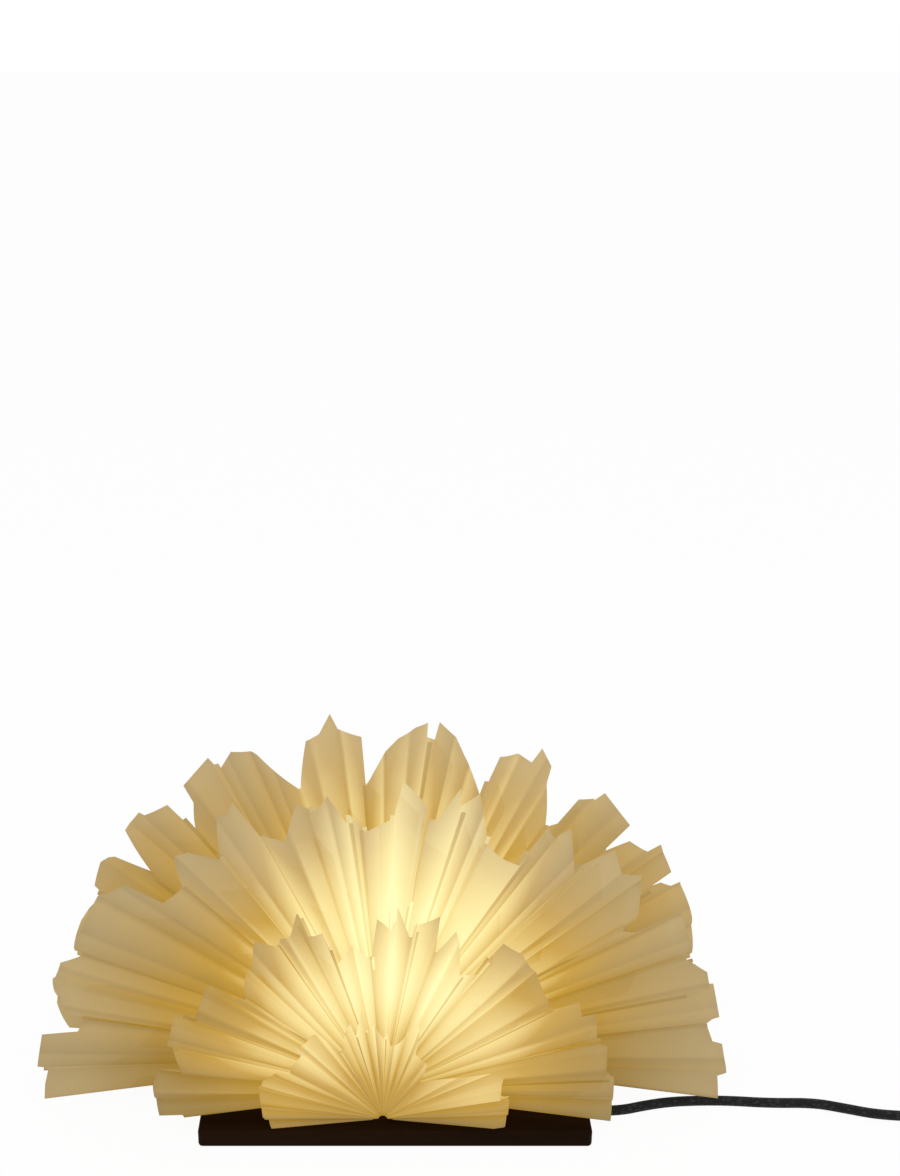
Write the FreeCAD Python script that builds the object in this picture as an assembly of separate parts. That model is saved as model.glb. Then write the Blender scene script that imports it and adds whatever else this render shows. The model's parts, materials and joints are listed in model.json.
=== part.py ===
import FreeCAD, Part
import math
import os

# Table lamp: a flat square wooden board carries a lampholder with a small globe
# bulb, and six fans of pleated paper stand on the board round the bulb.
# Four fans rise in steps from the front to just before the bulb, and two low
# fans close the back, hidden from the front by the tall ones.
# The mains lead leaves the right side of the board, passes a cord switch and
# ends in a tied coil and a two-pin plug.
# Millimetres, +Z up, +X to the right, the front faces -Y.
# The origin is the middle of the underside.

# Board
BOARD_WIDTH = 257.0
BOARD_DEPTH = 257.0
BOARD_THICK = 12.4
BOARD_EDGE_ROUND = 2.0
BOARD_CORNER_ROUND = 3.0
FELT_THICK = 0.6
FELT_MARGIN = 4.0
WIRING_DEPTH = 8.9
POCKET_RADIUS = 30.0
CHANNEL_WIDTH = 8.0

# Bulb and lampholder, on the board's middle
LAMP_X = 0.0
LAMP_Y = 0.0
NIPPLE_RADIUS = 5.0
NIPPLE_BORE = 3.6
NIPPLE_HOLE_CLEARANCE = 0.2
NIPPLE_RISE = 9.0
NIPPLE_DROP = 3.3
NUT_ACROSS_FLATS = 14.0
NUT_THICK = 3.0
SEAT_RADIUS = 17.0
SEAT_THICK = 1.5
HOLDER_RADIUS = 14.0
HOLDER_WALL = 1.6
HOLDER_CAP_HEIGHT = 17.0
HOLDER_SHELL_HEIGHT = 24.0
HOLDER_NECK_RADIUS = 8.0
HOLDER_DISC_THICK = 4.0
LINER_WALL = 0.4
CONTACT_WIDTH = 4.0
CONTACT_THICK = 0.5
CAP_RADIUS = 6.9
CAP_HEIGHT = 17.0
CAP_TIP_RADIUS = 2.4
CAP_TIP_HEIGHT = 1.6
CAP_FIT = 0.15
COLLAR_RADIUS = 8.0
COLLAR_NECK_HEIGHT = 3.0
GLOBE_RADIUS = 22.5
GLOBE_WALL = 1.2
GLOBE_HEIGHT = 70.0
GLOBE_CUT = 11.2

# Paper fans. Each has its root on the board, so far in front of the lamp's
# middle, and leans forward by so many degrees. Negative leans back.
PAPER = 0.3
FAN_AXIS_X = -8.0
SMALL_REACH = 87.0
SMALL_SETBACK = 12.5
SMALL_ROOT = BOARD_DEPTH / 2 - SMALL_SETBACK
SMALL_LEAN = 5.0
SMALL_PLEAT = 2.6
MIDDLE_REACH = 160.0
MIDDLE_SETBACK = 38.5
MIDDLE_ROOT = BOARD_DEPTH / 2 - MIDDLE_SETBACK
MIDDLE_LEAN = 9.0
MIDDLE_PLEAT = 1.7
LARGE_REACH = 240.0
LARGE_ROOT = 51.0
LARGE_LEAN = 10.0
LARGE_PLEAT = 1.2
INNER_REACH = 245.0
INNER_ROOT = 37.4
INNER_LEAN = -6.0
INNER_PLEAT = 1.1
REAR_MIDDLE_ROOT = 56.0
REAR_MIDDLE_LEAN = 2.0
REAR_SMALL_SETBACK = 36.5
REAR_SMALL_ROOT = BOARD_DEPTH / 2 - REAR_SMALL_SETBACK
REAR_SMALL_LEAN = 5.0
ROOT_RADIUS = 3.0
ROOT_RADIUS_FOLD = 5.0
ROOT_RADIUS_END = 7.0
ROOT_RADIUS_FOOT = 9.0
FOOT_SPREAD = 10.0
FOOT_REACH = 112.0
FOOT_REACH_SMALL = 68.0

# Mains lead. The route is the middle line of the cord: out from the board's side,
# sideways from the hole it leaves by, and up.
CORD_DIAMETER = 6.5
RELIEF_LENGTH_IN = 12.0
RELIEF_LENGTH_OUT = 10.0
RELIEF_RADIUS = 4.5
RELIEF_FLANGE_RADIUS = 5.6
RELIEF_FLANGE_THICK = 1.6
RELIEF_TIP_RADIUS = 3.9
EXIT_SETBACK = 29.0
EXIT_Y = EXIT_SETBACK - BOARD_DEPTH / 2
EXIT_Z = 6.25
INNER_BEND_IN = 58.5
INNER_BEND_X = BOARD_WIDTH / 2 - INNER_BEND_IN
INNER_BEND_RADIUS = 40.0
INNER_END = 14.0
CLAMP_AT = 21.0
CLAMP_LENGTH = 7.0
CLAMP_WIDTH = 20.0
CLAMP_THICK = 1.2
CLAMP_SCREW_SPACING = 14.0
CLAMP_SCREW_RADIUS = 1.4
CLAMP_HEAD_RADIUS = 2.5
CLAMP_SCREW_RISE = 2.0
CORE_RADIUS = 1.1
CORE_SPACING = 3.0
CORE_DIP = 3.05
CORE_BEND = 3.0
FLOOR_Z = CORD_DIAMETER / 2
SWITCH_DISTANCE = 223.5
SWITCH_SIDE = 5.7
SWITCH_START_X = BOARD_WIDTH / 2 + SWITCH_DISTANCE
SWITCH_Y = EXIT_Y - SWITCH_SIDE
SWITCH_AXIS_Z = 6.5
LEAD_ROUTE = (
    (22.0, 0.0, 6.25),
    (40.0, 7.1, 4.8),
    (57.0, 12.3, 3.5),
    (76.0, 14.0, 3.25),
    (98.0, 14.0, 3.25),
    (126.0, 11.4, 3.25),
    (155.0, 11.8, 3.25),
    (175.0, 6.0, 3.25),
    (192.0, 0.6, 3.25),
    (209.5, -5.7, 6.5),
)

# Cord switch
SWITCH_LENGTH = 62.0
SWITCH_WIDTH = 26.0
SWITCH_HEIGHT = 14.0
SWITCH_END_WIDTH = 12.0
SWITCH_TAPER = 14.0
SWITCH_ROUND = 1.5
WINDOW_LENGTH = 21.0
WINDOW_WIDTH = 12.4
WINDOW_FLOOR = 3.0
ROCKER_GAP = 0.4
ROCKER_LENGTH = WINDOW_LENGTH - 2 * ROCKER_GAP
ROCKER_WIDTH = WINDOW_WIDTH - 2 * ROCKER_GAP
ROCKER_PIVOT_Z = 10.5
ROCKER_PIN_RADIUS = 1.2
ROCKER_PIN_REACH = 1.2
ROCKER_PIN_CLEARANCE = 0.06
ROCKER_TILT = 7.0
ROCKER_RISE = 3.2
ROCKER_END_RISE = 4.6
ROCKER_END_SLOPE = 0.7
ROCKER_SKIRT = 1.2
SCREW_OFFSET = 20.5
SCREW_HEAD_RADIUS = 2.4
SCREW_HEAD_HEIGHT = 1.6
SCREW_RADIUS = 1.3
SCREW_LENGTH = 9.0
SCREW_CLEARANCE = 0.1
SCREW_RECESS = 0.6
SWITCH_CONTACT_SPACING = 9.0
SWITCH_CONTACT_SIZE = 3.0
SWITCH_CONTACT_HEIGHT = 1.8

# Coil of the put-away length, its ties and the plug
COIL_DISTANCE = 42.0
COIL_X = SWITCH_START_X + SWITCH_LENGTH + COIL_DISTANCE
COIL_RADIUS = 47.0
COIL_PITCH = 7.1
COIL_LIFT = 1.0
COIL_SPIRAL_TURNS = 2.875
COIL_CLIMB_TURNS = 0.5
COIL_TURNS = 2 * COIL_SPIRAL_TURNS + COIL_CLIMB_TURNS
COIL_QUARTERS = 25
LINK_POINTS = 3
TIE_THICK = 0.8
TIE_WIDTH = 9.0
TIE_CLEARANCE = 0.2
TIE_ANGLES = (45.0, 225.0)
TAIL_RUN = 13.0
PLUG_AXIS_Z = 7.0
PLUG_RELIEF_LENGTH = 24.0
PLUG_RELIEF_RADIUS = 5.2
PLUG_RELIEF_TIP = 4.0
PLUG_LENGTH = 35.0
PLUG_WIDTH = 35.0
PLUG_THICK = 13.8
PLUG_NECK_WIDTH = 15.0
PLUG_NECK_THICK = 11.5
PIN_RADIUS = 2.0
PIN_LENGTH = 19.0
PIN_ROOT = 6.0
PIN_SPACING = 18.6
PIN_SLEEVE = 10.0
PIN_SLEEVE_RADIUS = 1.9

# Worked-out levels
BOARD_BOTTOM = FELT_THICK
BOARD_TOP = FELT_THICK + BOARD_THICK
WIRING_TOP = BOARD_BOTTOM + WIRING_DEPTH
HOLDER_BOTTOM = BOARD_TOP + SEAT_THICK
CAP_TOP = HOLDER_BOTTOM + HOLDER_CAP_HEIGHT
SHELL_TOP = CAP_TOP + HOLDER_SHELL_HEIGHT
GLOBE_Z = BOARD_TOP + GLOBE_HEIGHT
GLOBE_MOUTH_Z = GLOBE_Z - GLOBE_CUT
SWITCH_END_X = SWITCH_START_X + SWITCH_LENGTH
SWITCH_MIDDLE_X = (SWITCH_START_X + SWITCH_END_X) / 2

UP = FreeCAD.Vector(0, 0, 1)
UNIT_X = FreeCAD.Vector(1, 0, 0)
UNIT_Y = FreeCAD.Vector(0, 1, 0)


def point(x, y, z):
    return FreeCAD.Vector(x, y, z)


def cylinder(radius, bottom, top, x=0.0, y=0.0):
    return Part.makeCylinder(radius, top - bottom, point(x, y, bottom))


def tube(outer, inner, bottom, top, x=0.0, y=0.0):
    return cylinder(outer, bottom, top, x, y).cut(cylinder(inner, bottom, top, x, y))


def turned(profile, x=0.0, y=0.0):
    """A solid of revolution from a closed radius and height profile."""
    wire = Part.makePolygon([point(x + r, y, z) for r, z in list(profile) + [profile[0]]])
    return Part.Face(wire).revolve(point(x, y, 0), UP, 360)


def save(name, shape):
    """Writes one piece and says what it is made of."""
    shape.exportStep("parts/" + name + ".step")
    print(name, "solids", len(shape.Solids), "valid", shape.isValid(), "volume", round(shape.Volume, 1))


# Cord paths

def arc_middle(start, corner, end):
    """The middle of the arc that is tangent to both legs of a corner of equal legs."""
    chord_middle = (start + end) * 0.5
    half_chord = (end - start).Length / 2
    turn = math.atan2((corner - chord_middle).Length, half_chord)
    return chord_middle + (corner - chord_middle) * (math.tan(turn / 2) / math.tan(turn))


def rounded_route(points):
    """Straight runs joined by tangent arcs, as large as the shorter run of each allows."""
    edges = []
    radii = []
    last = points[0]
    for before, corner, after in zip(points, points[1:], points[2:]):
        reach = 0.45 * min((corner - before).Length, (after - corner).Length)
        start = corner + (before - corner).normalize() * reach
        end = corner + (after - corner).normalize() * reach
        half_turn = (corner - before).getAngle(after - corner) / 2
        radii.append(reach / math.tan(half_turn))
        edges.append(Part.LineSegment(last, start).toShape())
        edges.append(Part.Arc(start, arc_middle(start, corner, end), end).toShape())
        last = end
    edges.append(Part.LineSegment(last, points[-1]).toShape())
    return edges, radii


def swept_cord(edges, radius):
    """A round cord along a path of tangent edges."""
    path = Part.Wire(edges)
    start = edges[0].valueAt(edges[0].FirstParameter)
    heading = edges[0].tangentAt(edges[0].FirstParameter)
    ring = Part.Wire(Part.makeCircle(radius, start, heading))
    cord = path.makePipeShell([ring], True, False)
    expected = math.pi * radius ** 2 * path.Length
    print("  cord length", round(path.Length, 1), "volume against section times length",
          round(cord.Volume / expected, 4))
    return cord


def free_stretch(name, points):
    edges, radii = rounded_route(points)
    print(name, "arc radii", [round(r, 1) for r in radii])
    return swept_cord(edges, CORD_DIAMETER / 2)


def biarc(start, heading, end, end_heading):
    """Two arcs that leave one point along its heading and reach the next along its own."""
    across = end - start
    both = heading + end_heading
    a = both.dot(both) - 4
    b = -2 * across.dot(both)
    c = across.dot(across)
    leg = (-b - math.sqrt(b * b - 4 * a * c)) / (2 * a)
    first_corner = start + heading * leg
    second_corner = end - end_heading * leg
    joint = (first_corner + second_corner) * 0.5
    return [Part.Arc(start, arc_middle(start, first_corner, joint), joint).toShape(),
            Part.Arc(joint, arc_middle(joint, second_corner, end), end).toShape()]


# Coil: its middle line spirals in, climbs a layer in the half turn where the
# spiral reverses, and spirals out again.

COIL_STEP = COIL_PITCH / (2 * math.pi)
COIL_IN = 2 * math.pi * COIL_SPIRAL_TURNS
COIL_CLIMB = 2 * math.pi * COIL_CLIMB_TURNS
COIL_START_ANGLE = -math.pi / 2 - math.atan(COIL_STEP / COIL_RADIUS)
COIL_Z = CORD_DIAMETER / 2 + COIL_LIFT
COIL_START_LEAD_X = COIL_X - CORD_DIAMETER
COIL_Y = SWITCH_Y - COIL_RADIUS * math.sin(COIL_START_ANGLE)
COIL_MIDDLE_X = COIL_X - COIL_RADIUS * math.cos(COIL_START_ANGLE)


def coil_radius(turned_by):
    inner = COIL_RADIUS - COIL_STEP * COIL_IN
    if turned_by < COIL_IN:
        return COIL_RADIUS - COIL_STEP * turned_by
    into = turned_by - COIL_IN
    if into < COIL_CLIMB:
        return inner - COIL_STEP * into * (1 - into / COIL_CLIMB)
    return inner + COIL_STEP * (into - COIL_CLIMB)


def coil_height(turned_by):
    share = min(1.0, max(0.0, (turned_by - COIL_IN) / COIL_CLIMB))
    return COIL_Z + COIL_PITCH * share * share * (3 - 2 * share)


def coil_point(turned_by):
    angle = COIL_START_ANGLE + turned_by
    radius = coil_radius(turned_by)
    return point(COIL_MIDDLE_X + radius * math.cos(angle), COIL_Y + radius * math.sin(angle),
                 coil_height(turned_by))


def coil_heading(turned_by):
    small = 1e-4
    before = max(0.0, turned_by - small)
    return (coil_point(turned_by + small) - coil_point(before)).normalize()


def coil_path():
    whole = 2 * math.pi * COIL_TURNS
    stops = [whole * i / COIL_QUARTERS for i in range(COIL_QUARTERS + 1)]
    ends = [coil_point(s) for s in stops]
    headings = [coil_heading(s) for s in stops]
    lead_in = ends[0] - headings[0] * CORD_DIAMETER
    lead_out = ends[-1] + headings[-1] * CORD_DIAMETER
    edges = [Part.LineSegment(lead_in, ends[0]).toShape()]
    for i in range(COIL_QUARTERS):
        edges += biarc(ends[i], headings[i], ends[i + 1], headings[i + 1])
    edges.append(Part.LineSegment(ends[-1], lead_out).toShape())
    return edges, lead_in, lead_out, headings[0], headings[-1]


def least_self_gap(edges):
    """Least free distance between turns, on points along the path."""
    marks = []
    along = 0.0
    for edge in edges:
        steps = max(2, int(edge.Length / 3))
        for i in range(steps):
            marks.append((along + edge.Length * i / steps, edge.getPointByLength(edge.Length * i / steps)
                          if hasattr(edge, "getPointByLength") else
                          edge.valueAt(edge.getParameterByLength(edge.Length * i / steps))))
        along += edge.Length
    least = None
    for i, (first_at, first) in enumerate(marks):
        for second_at, second in marks[i + 1:]:
            if second_at - first_at > 5 * CORD_DIAMETER:
                gap = (second - first).Length - CORD_DIAMETER
                if least is None or gap < least:
                    least = gap
    return least


# Board and its wiring space

def inner_lead_points():
    """The lead inside the board, from the relief's inner end to beside the lampholder."""
    bend = point(INNER_BEND_X, EXIT_Y, EXIT_Z)
    to_lamp = (point(LAMP_X, LAMP_Y, EXIT_Z) - bend).normalize()
    end = point(LAMP_X, LAMP_Y, EXIT_Z) - to_lamp * INNER_END
    return point(BOARD_WIDTH / 2 - RELIEF_LENGTH_IN, EXIT_Y, EXIT_Z), bend, end, to_lamp


def inner_lead_edges():
    start, bend, end, to_lamp = inner_lead_points()
    half_turn = UNIT_X.negative().getAngle(to_lamp) / 2
    reach = INNER_BEND_RADIUS * math.tan(half_turn)
    arc_start = bend + UNIT_X * reach
    arc_end = bend + to_lamp * reach
    return [Part.LineSegment(start, arc_start).toShape(),
            Part.Arc(arc_start, arc_middle(arc_start, bend, arc_end), arc_end).toShape(),
            Part.LineSegment(arc_end, end).toShape()]


def wiring_channel():
    """A square-bottomed groove along the inner lead, open at the underside."""
    start, bend, end, to_lamp = inner_lead_points()
    half_turn = UNIT_X.negative().getAngle(to_lamp) / 2
    reach = INNER_BEND_RADIUS * math.tan(half_turn)
    height = WIRING_TOP - BOARD_BOTTOM
    straight = Part.makeBox(start.x - bend.x - reach, CHANNEL_WIDTH, height,
                            point(bend.x + reach, EXIT_Y - CHANNEL_WIDTH / 2, BOARD_BOTTOM))
    arc_end = bend + to_lamp * reach
    slanted = Part.makeBox((end - arc_end).Length, CHANNEL_WIDTH, height,
                           point(0, -CHANNEL_WIDTH / 2, 0))
    slanted.rotate(point(0, 0, 0), UP, math.degrees(math.atan2(to_lamp.y, to_lamp.x)))
    slanted.translate(point(arc_end.x, arc_end.y, BOARD_BOTTOM))
    middle = point(bend.x + reach, EXIT_Y + INNER_BEND_RADIUS, BOARD_BOTTOM)
    swing = math.degrees(2 * half_turn)
    outer = Part.makeCylinder(INNER_BEND_RADIUS + CHANNEL_WIDTH / 2, height, middle, UP, swing)
    inner = Part.makeCylinder(INNER_BEND_RADIUS - CHANNEL_WIDTH / 2, height, middle, UP, swing)
    bow = outer.cut(inner)
    bow.rotate(middle, UP, 270 - swing)
    return straight.fuse([bow, slanted]).removeSplitter()


def clamp_place(shape):
    """Puts a shape, drawn along X at the origin, across the lead beside the lampholder."""
    start, bend, end, to_lamp = inner_lead_points()
    moved = shape.copy()
    moved.rotate(point(0, 0, 0), UP, math.degrees(math.atan2(to_lamp.y, to_lamp.x)))
    at = point(LAMP_X, LAMP_Y, 0) - to_lamp * CLAMP_AT
    moved.translate(point(at.x, at.y, 0))
    return moved


def clamp_bolts():
    """Two countersunk screws, through the clamp and up into the board."""
    low = clamp_bottom()
    sink = CLAMP_HEAD_RADIUS - CLAMP_SCREW_RADIUS
    profile = [(0, low), (CLAMP_HEAD_RADIUS, low), (CLAMP_SCREW_RADIUS, low + sink),
               (CLAMP_SCREW_RADIUS, WIRING_TOP + CLAMP_SCREW_RISE), (0, WIRING_TOP + CLAMP_SCREW_RISE)]
    bolt = turned(profile)
    bolts = []
    for side in (-1, 1):
        bolts.append(clamp_place(bolt.translated(UNIT_Y * (side * CLAMP_SCREW_SPACING / 2))))
    return bolts


def base_board():
    board = Part.makeBox(BOARD_WIDTH, BOARD_DEPTH, BOARD_THICK,
                         point(-BOARD_WIDTH / 2, -BOARD_DEPTH / 2, BOARD_BOTTOM))
    upright = [e for e in board.Edges if abs(e.tangentAt(e.FirstParameter).z) > 0.9]
    board = board.makeFillet(BOARD_CORNER_ROUND, upright)
    rim = [e for e in board.Edges
           if min(v.Z for v in e.Vertexes) > BOARD_TOP - 0.01 or max(v.Z for v in e.Vertexes) < BOARD_BOTTOM + 0.01]
    board = board.makeFillet(BOARD_EDGE_ROUND, rim)
    pocket = cylinder(POCKET_RADIUS, BOARD_BOTTOM, WIRING_TOP, LAMP_X, LAMP_Y)
    hole = cylinder(NIPPLE_RADIUS + NIPPLE_HOLE_CLEARANCE, BOARD_BOTTOM, BOARD_TOP, LAMP_X, LAMP_Y)
    side_hole = Part.makeCylinder(RELIEF_RADIUS, RELIEF_LENGTH_IN,
                                  point(BOARD_WIDTH / 2 - RELIEF_LENGTH_IN, EXIT_Y, EXIT_Z), UNIT_X)
    return board.cut([pocket, hole, wiring_channel(), side_hole] + clamp_bolts())


def base_felt():
    inset = FELT_MARGIN
    felt = Part.makeBox(BOARD_WIDTH - 2 * inset, BOARD_DEPTH - 2 * inset, FELT_THICK,
                        point(inset - BOARD_WIDTH / 2, inset - BOARD_DEPTH / 2, 0))
    upright = [e for e in felt.Edges if abs(e.tangentAt(e.FirstParameter).z) > 0.9]
    return felt.makeFillet(BOARD_CORNER_ROUND, upright)


def cord_relief():
    """A bush in the side hole with a flange on the board's side and a tapered nose."""
    wall = BOARD_WIDTH / 2
    tip = wall + RELIEF_LENGTH_OUT
    bore = CORD_DIAMETER / 2
    profile = [(wall - RELIEF_LENGTH_IN, bore), (wall - RELIEF_LENGTH_IN, RELIEF_RADIUS),
               (wall, RELIEF_RADIUS), (wall, RELIEF_FLANGE_RADIUS),
               (wall + RELIEF_FLANGE_THICK, RELIEF_FLANGE_RADIUS),
               (wall + RELIEF_FLANGE_THICK + 1, RELIEF_RADIUS + 0.2),
               (tip, RELIEF_TIP_RADIUS), (tip, bore)]
    wire = Part.makePolygon([point(x, EXIT_Y, EXIT_Z + r) for x, r in profile + [profile[0]]])
    return Part.Face(wire).revolve(point(0, EXIT_Y, EXIT_Z), UNIT_X, 360)


def clamp_bottom():
    return EXIT_Z - CORD_DIAMETER / 2 - CLAMP_THICK


def cord_clamp():
    """A strap under the lead with a post at each side, up to the pocket's ceiling."""
    low = clamp_bottom()
    strap = Part.makeBox(CLAMP_LENGTH, CLAMP_WIDTH, WIRING_TOP - low,
                         point(-CLAMP_LENGTH / 2, -CLAMP_WIDTH / 2, low))
    room = Part.makeBox(CLAMP_LENGTH, CORD_DIAMETER, WIRING_TOP - low - CLAMP_THICK,
                        point(-CLAMP_LENGTH / 2, -CORD_DIAMETER / 2, low + CLAMP_THICK))
    strap = clamp_place(strap.cut(room))
    return strap.cut(clamp_bolts())


# Lampholder and bulb

def threaded_nipple():
    low = WIRING_TOP - NIPPLE_DROP
    return tube(NIPPLE_RADIUS, NIPPLE_BORE, low, HOLDER_BOTTOM + NIPPLE_RISE, LAMP_X, LAMP_Y)


def nipple_nut():
    corner = NUT_ACROSS_FLATS / 2 / math.cos(math.pi / 6)
    ring = [point(LAMP_X + corner * math.cos(math.pi * i / 3), LAMP_Y + corner * math.sin(math.pi * i / 3),
                  WIRING_TOP - NUT_THICK) for i in range(7)]
    nut = Part.Face(Part.makePolygon(ring)).extrude(UP * NUT_THICK)
    return nut.cut(cylinder(NIPPLE_RADIUS, WIRING_TOP - NUT_THICK, WIRING_TOP, LAMP_X, LAMP_Y))


def holder_seat():
    """A shallow pressed dish under the lampholder."""
    low = BOARD_TOP
    profile = [(NIPPLE_RADIUS + NIPPLE_HOLE_CLEARANCE, low), (SEAT_RADIUS, low), (SEAT_RADIUS, low + 0.7),
               (SEAT_RADIUS - 1.5, low + SEAT_THICK), (NIPPLE_RADIUS + NIPPLE_HOLE_CLEARANCE, low + SEAT_THICK)]
    return turned(profile, LAMP_X, LAMP_Y)


def holder_cap():
    """The lower cup of the lampholder, with a neck that takes the nipple's thread."""
    low = HOLDER_BOTTOM
    wall = HOLDER_RADIUS - HOLDER_WALL
    neck_top = low + NIPPLE_RISE
    profile = [(NIPPLE_RADIUS, low), (HOLDER_RADIUS - 3, low), (HOLDER_RADIUS, low + 3),
               (HOLDER_RADIUS, CAP_TOP), (wall, CAP_TOP), (wall, low + HOLDER_WALL + 2),
               (HOLDER_NECK_RADIUS, low + HOLDER_WALL), (HOLDER_NECK_RADIUS, neck_top),
               (NIPPLE_RADIUS, neck_top)]
    return turned(profile, LAMP_X, LAMP_Y)


def disc_bottom():
    return CAP_TOP - HOLDER_DISC_THICK


def holder_disc():
    """The insulating disc in the cup that carries the contact and the threaded liner."""
    wall = HOLDER_RADIUS - HOLDER_WALL
    disc = cylinder(wall, disc_bottom(), CAP_TOP, LAMP_X, LAMP_Y)
    holes = [cylinder(CORE_RADIUS + 0.1, disc_bottom(), CAP_TOP, LAMP_X + side * CORE_SPACING / 2 * 3, LAMP_Y)
             for side in (-1, 1)]
    return disc.cut(holes)


def bulb_tip_z():
    return CAP_TOP + CONTACT_THICK * 4


def holder_contact():
    """A spring tongue that stands on the disc and presses on the bulb's tip."""
    low = CAP_TOP
    high = bulb_tip_z()
    foot = Part.makeBox(CONTACT_WIDTH, CONTACT_WIDTH, CONTACT_THICK,
                        point(LAMP_X - CONTACT_WIDTH / 2, LAMP_Y - CONTACT_WIDTH / 2, low))
    post = Part.makeBox(CONTACT_WIDTH, CONTACT_THICK, high - low,
                        point(LAMP_X - CONTACT_WIDTH / 2, LAMP_Y + CONTACT_WIDTH / 2 - CONTACT_THICK, low))
    top = Part.makeBox(CONTACT_WIDTH, CONTACT_WIDTH, CONTACT_THICK,
                       point(LAMP_X - CONTACT_WIDTH / 2, LAMP_Y - CONTACT_WIDTH / 2, high - CONTACT_THICK))
    return foot.fuse([post, top]).removeSplitter()


def liner_radius():
    return CAP_RADIUS + CAP_FIT + LINER_WALL


def holder_liner():
    """The brass screw shell that the bulb's cap turns into."""
    high = bulb_tip_z() + CAP_TIP_HEIGHT + CAP_HEIGHT - 2
    return tube(liner_radius(), CAP_RADIUS + CAP_FIT, CAP_TOP, high, LAMP_X, LAMP_Y)


def holder_shell():
    """The upper skirt of the lampholder, with a mouth round the liner."""
    wall = HOLDER_RADIUS - HOLDER_WALL
    mouth = COLLAR_RADIUS + 1.2
    profile = [(wall, CAP_TOP), (HOLDER_RADIUS, CAP_TOP), (HOLDER_RADIUS, CAP_TOP + 4),
               (HOLDER_RADIUS - 0.8, CAP_TOP + 5), (HOLDER_RADIUS - 0.8, SHELL_TOP - 1),
               (HOLDER_RADIUS - 1.8, SHELL_TOP), (mouth, SHELL_TOP),
               (mouth, SHELL_TOP - 2), (wall - 1, SHELL_TOP - 3), (wall - 1, CAP_TOP + 4)]
    return turned(profile, LAMP_X, LAMP_Y)


def bulb_cap():
    """The bulb's threaded metal cap with its tip contact, ridged like a round thread."""
    low = bulb_tip_z()
    skirt = low + CAP_TIP_HEIGHT
    top = skirt + CAP_HEIGHT
    profile = [(0, low), (CAP_TIP_RADIUS, low), (CAP_TIP_RADIUS + 0.6, skirt), (CAP_RADIUS - 2, skirt + 0.6)]
    ridges = 5
    rise = (CAP_HEIGHT - 3.6) / ridges
    z = skirt + 1.6
    for i in range(ridges):
        profile.append((CAP_RADIUS - 0.7, z))
        profile.append((CAP_RADIUS, z + rise / 2))
        z += rise
    profile += [(CAP_RADIUS - 0.7, z), (CAP_RADIUS - 0.2, z + 0.4), (CAP_RADIUS - 0.2, top), (0, top)]
    return turned(profile, LAMP_X, LAMP_Y)


def cap_top_z():
    return bulb_tip_z() + CAP_TIP_HEIGHT + CAP_HEIGHT


def globe_mouth_radius(radius):
    return math.sqrt(radius ** 2 - GLOBE_CUT ** 2)


def bulb_collar():
    """The bulb's moulded collar, widening from the cap to the globe."""
    low = cap_top_z()
    mouth = globe_mouth_radius(GLOBE_RADIUS)
    profile = [(0, low), (COLLAR_RADIUS, low), (COLLAR_RADIUS + 0.6, low + COLLAR_NECK_HEIGHT),
               (mouth * 0.78, GLOBE_MOUTH_Z - 5), (mouth, GLOBE_MOUTH_Z), (0, GLOBE_MOUTH_Z)]
    return turned(profile, LAMP_X, LAMP_Y)


def bulb_globe():
    """The opal globe, a thin sphere cut flat where it meets the collar."""
    middle = point(LAMP_X, LAMP_Y, GLOBE_Z)
    skin = Part.makeSphere(GLOBE_RADIUS, middle).cut(Part.makeSphere(GLOBE_RADIUS - GLOBE_WALL, middle))
    below = cylinder(GLOBE_RADIUS + 1, GLOBE_Z - GLOBE_RADIUS - 1, GLOBE_MOUTH_Z, LAMP_X, LAMP_Y)
    return skin.cut(below)


def lead_cores():
    """The two cores, from the end of the lead down below the nut and up through the nipple."""
    start, bend, end, to_lamp = inner_lead_points()
    side = point(-to_lamp.y, to_lamp.x, 0)
    cores = []
    for sign in (-1, 1):
        shift = side * (sign * CORE_SPACING / 2)
        first = end + shift
        corner = point(LAMP_X, LAMP_Y, EXIT_Z - CORE_DIP) + shift
        low = corner - to_lamp * CORE_BEND
        high = corner + UP * CORE_BEND
        across = low - first
        leg = across.dot(across) / (4 * across.dot(to_lamp))
        halfway = (first + low) * 0.5
        edges = [Part.Arc(first, arc_middle(first, first + to_lamp * leg, halfway), halfway).toShape(),
                 Part.Arc(halfway, arc_middle(halfway, low - to_lamp * leg, low), low).toShape(),
                 Part.Arc(low, arc_middle(low, corner, high), high).toShape(),
                 Part.LineSegment(high, point(corner.x, corner.y, disc_bottom())).toShape()]
        cores.append(swept_cord(edges, CORE_RADIUS))
    return Part.makeCompound(cores)


# Paper fans
#
# The petals of each fan run from the left leaf lying on the board over the top
# to the right one. A petal is its first angle in degrees from straight up, its
# number of panels, and the points of its cut edge as angle and reach from the
# root. A fan's longest reach becomes its named reach, and the rest keep step.

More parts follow.
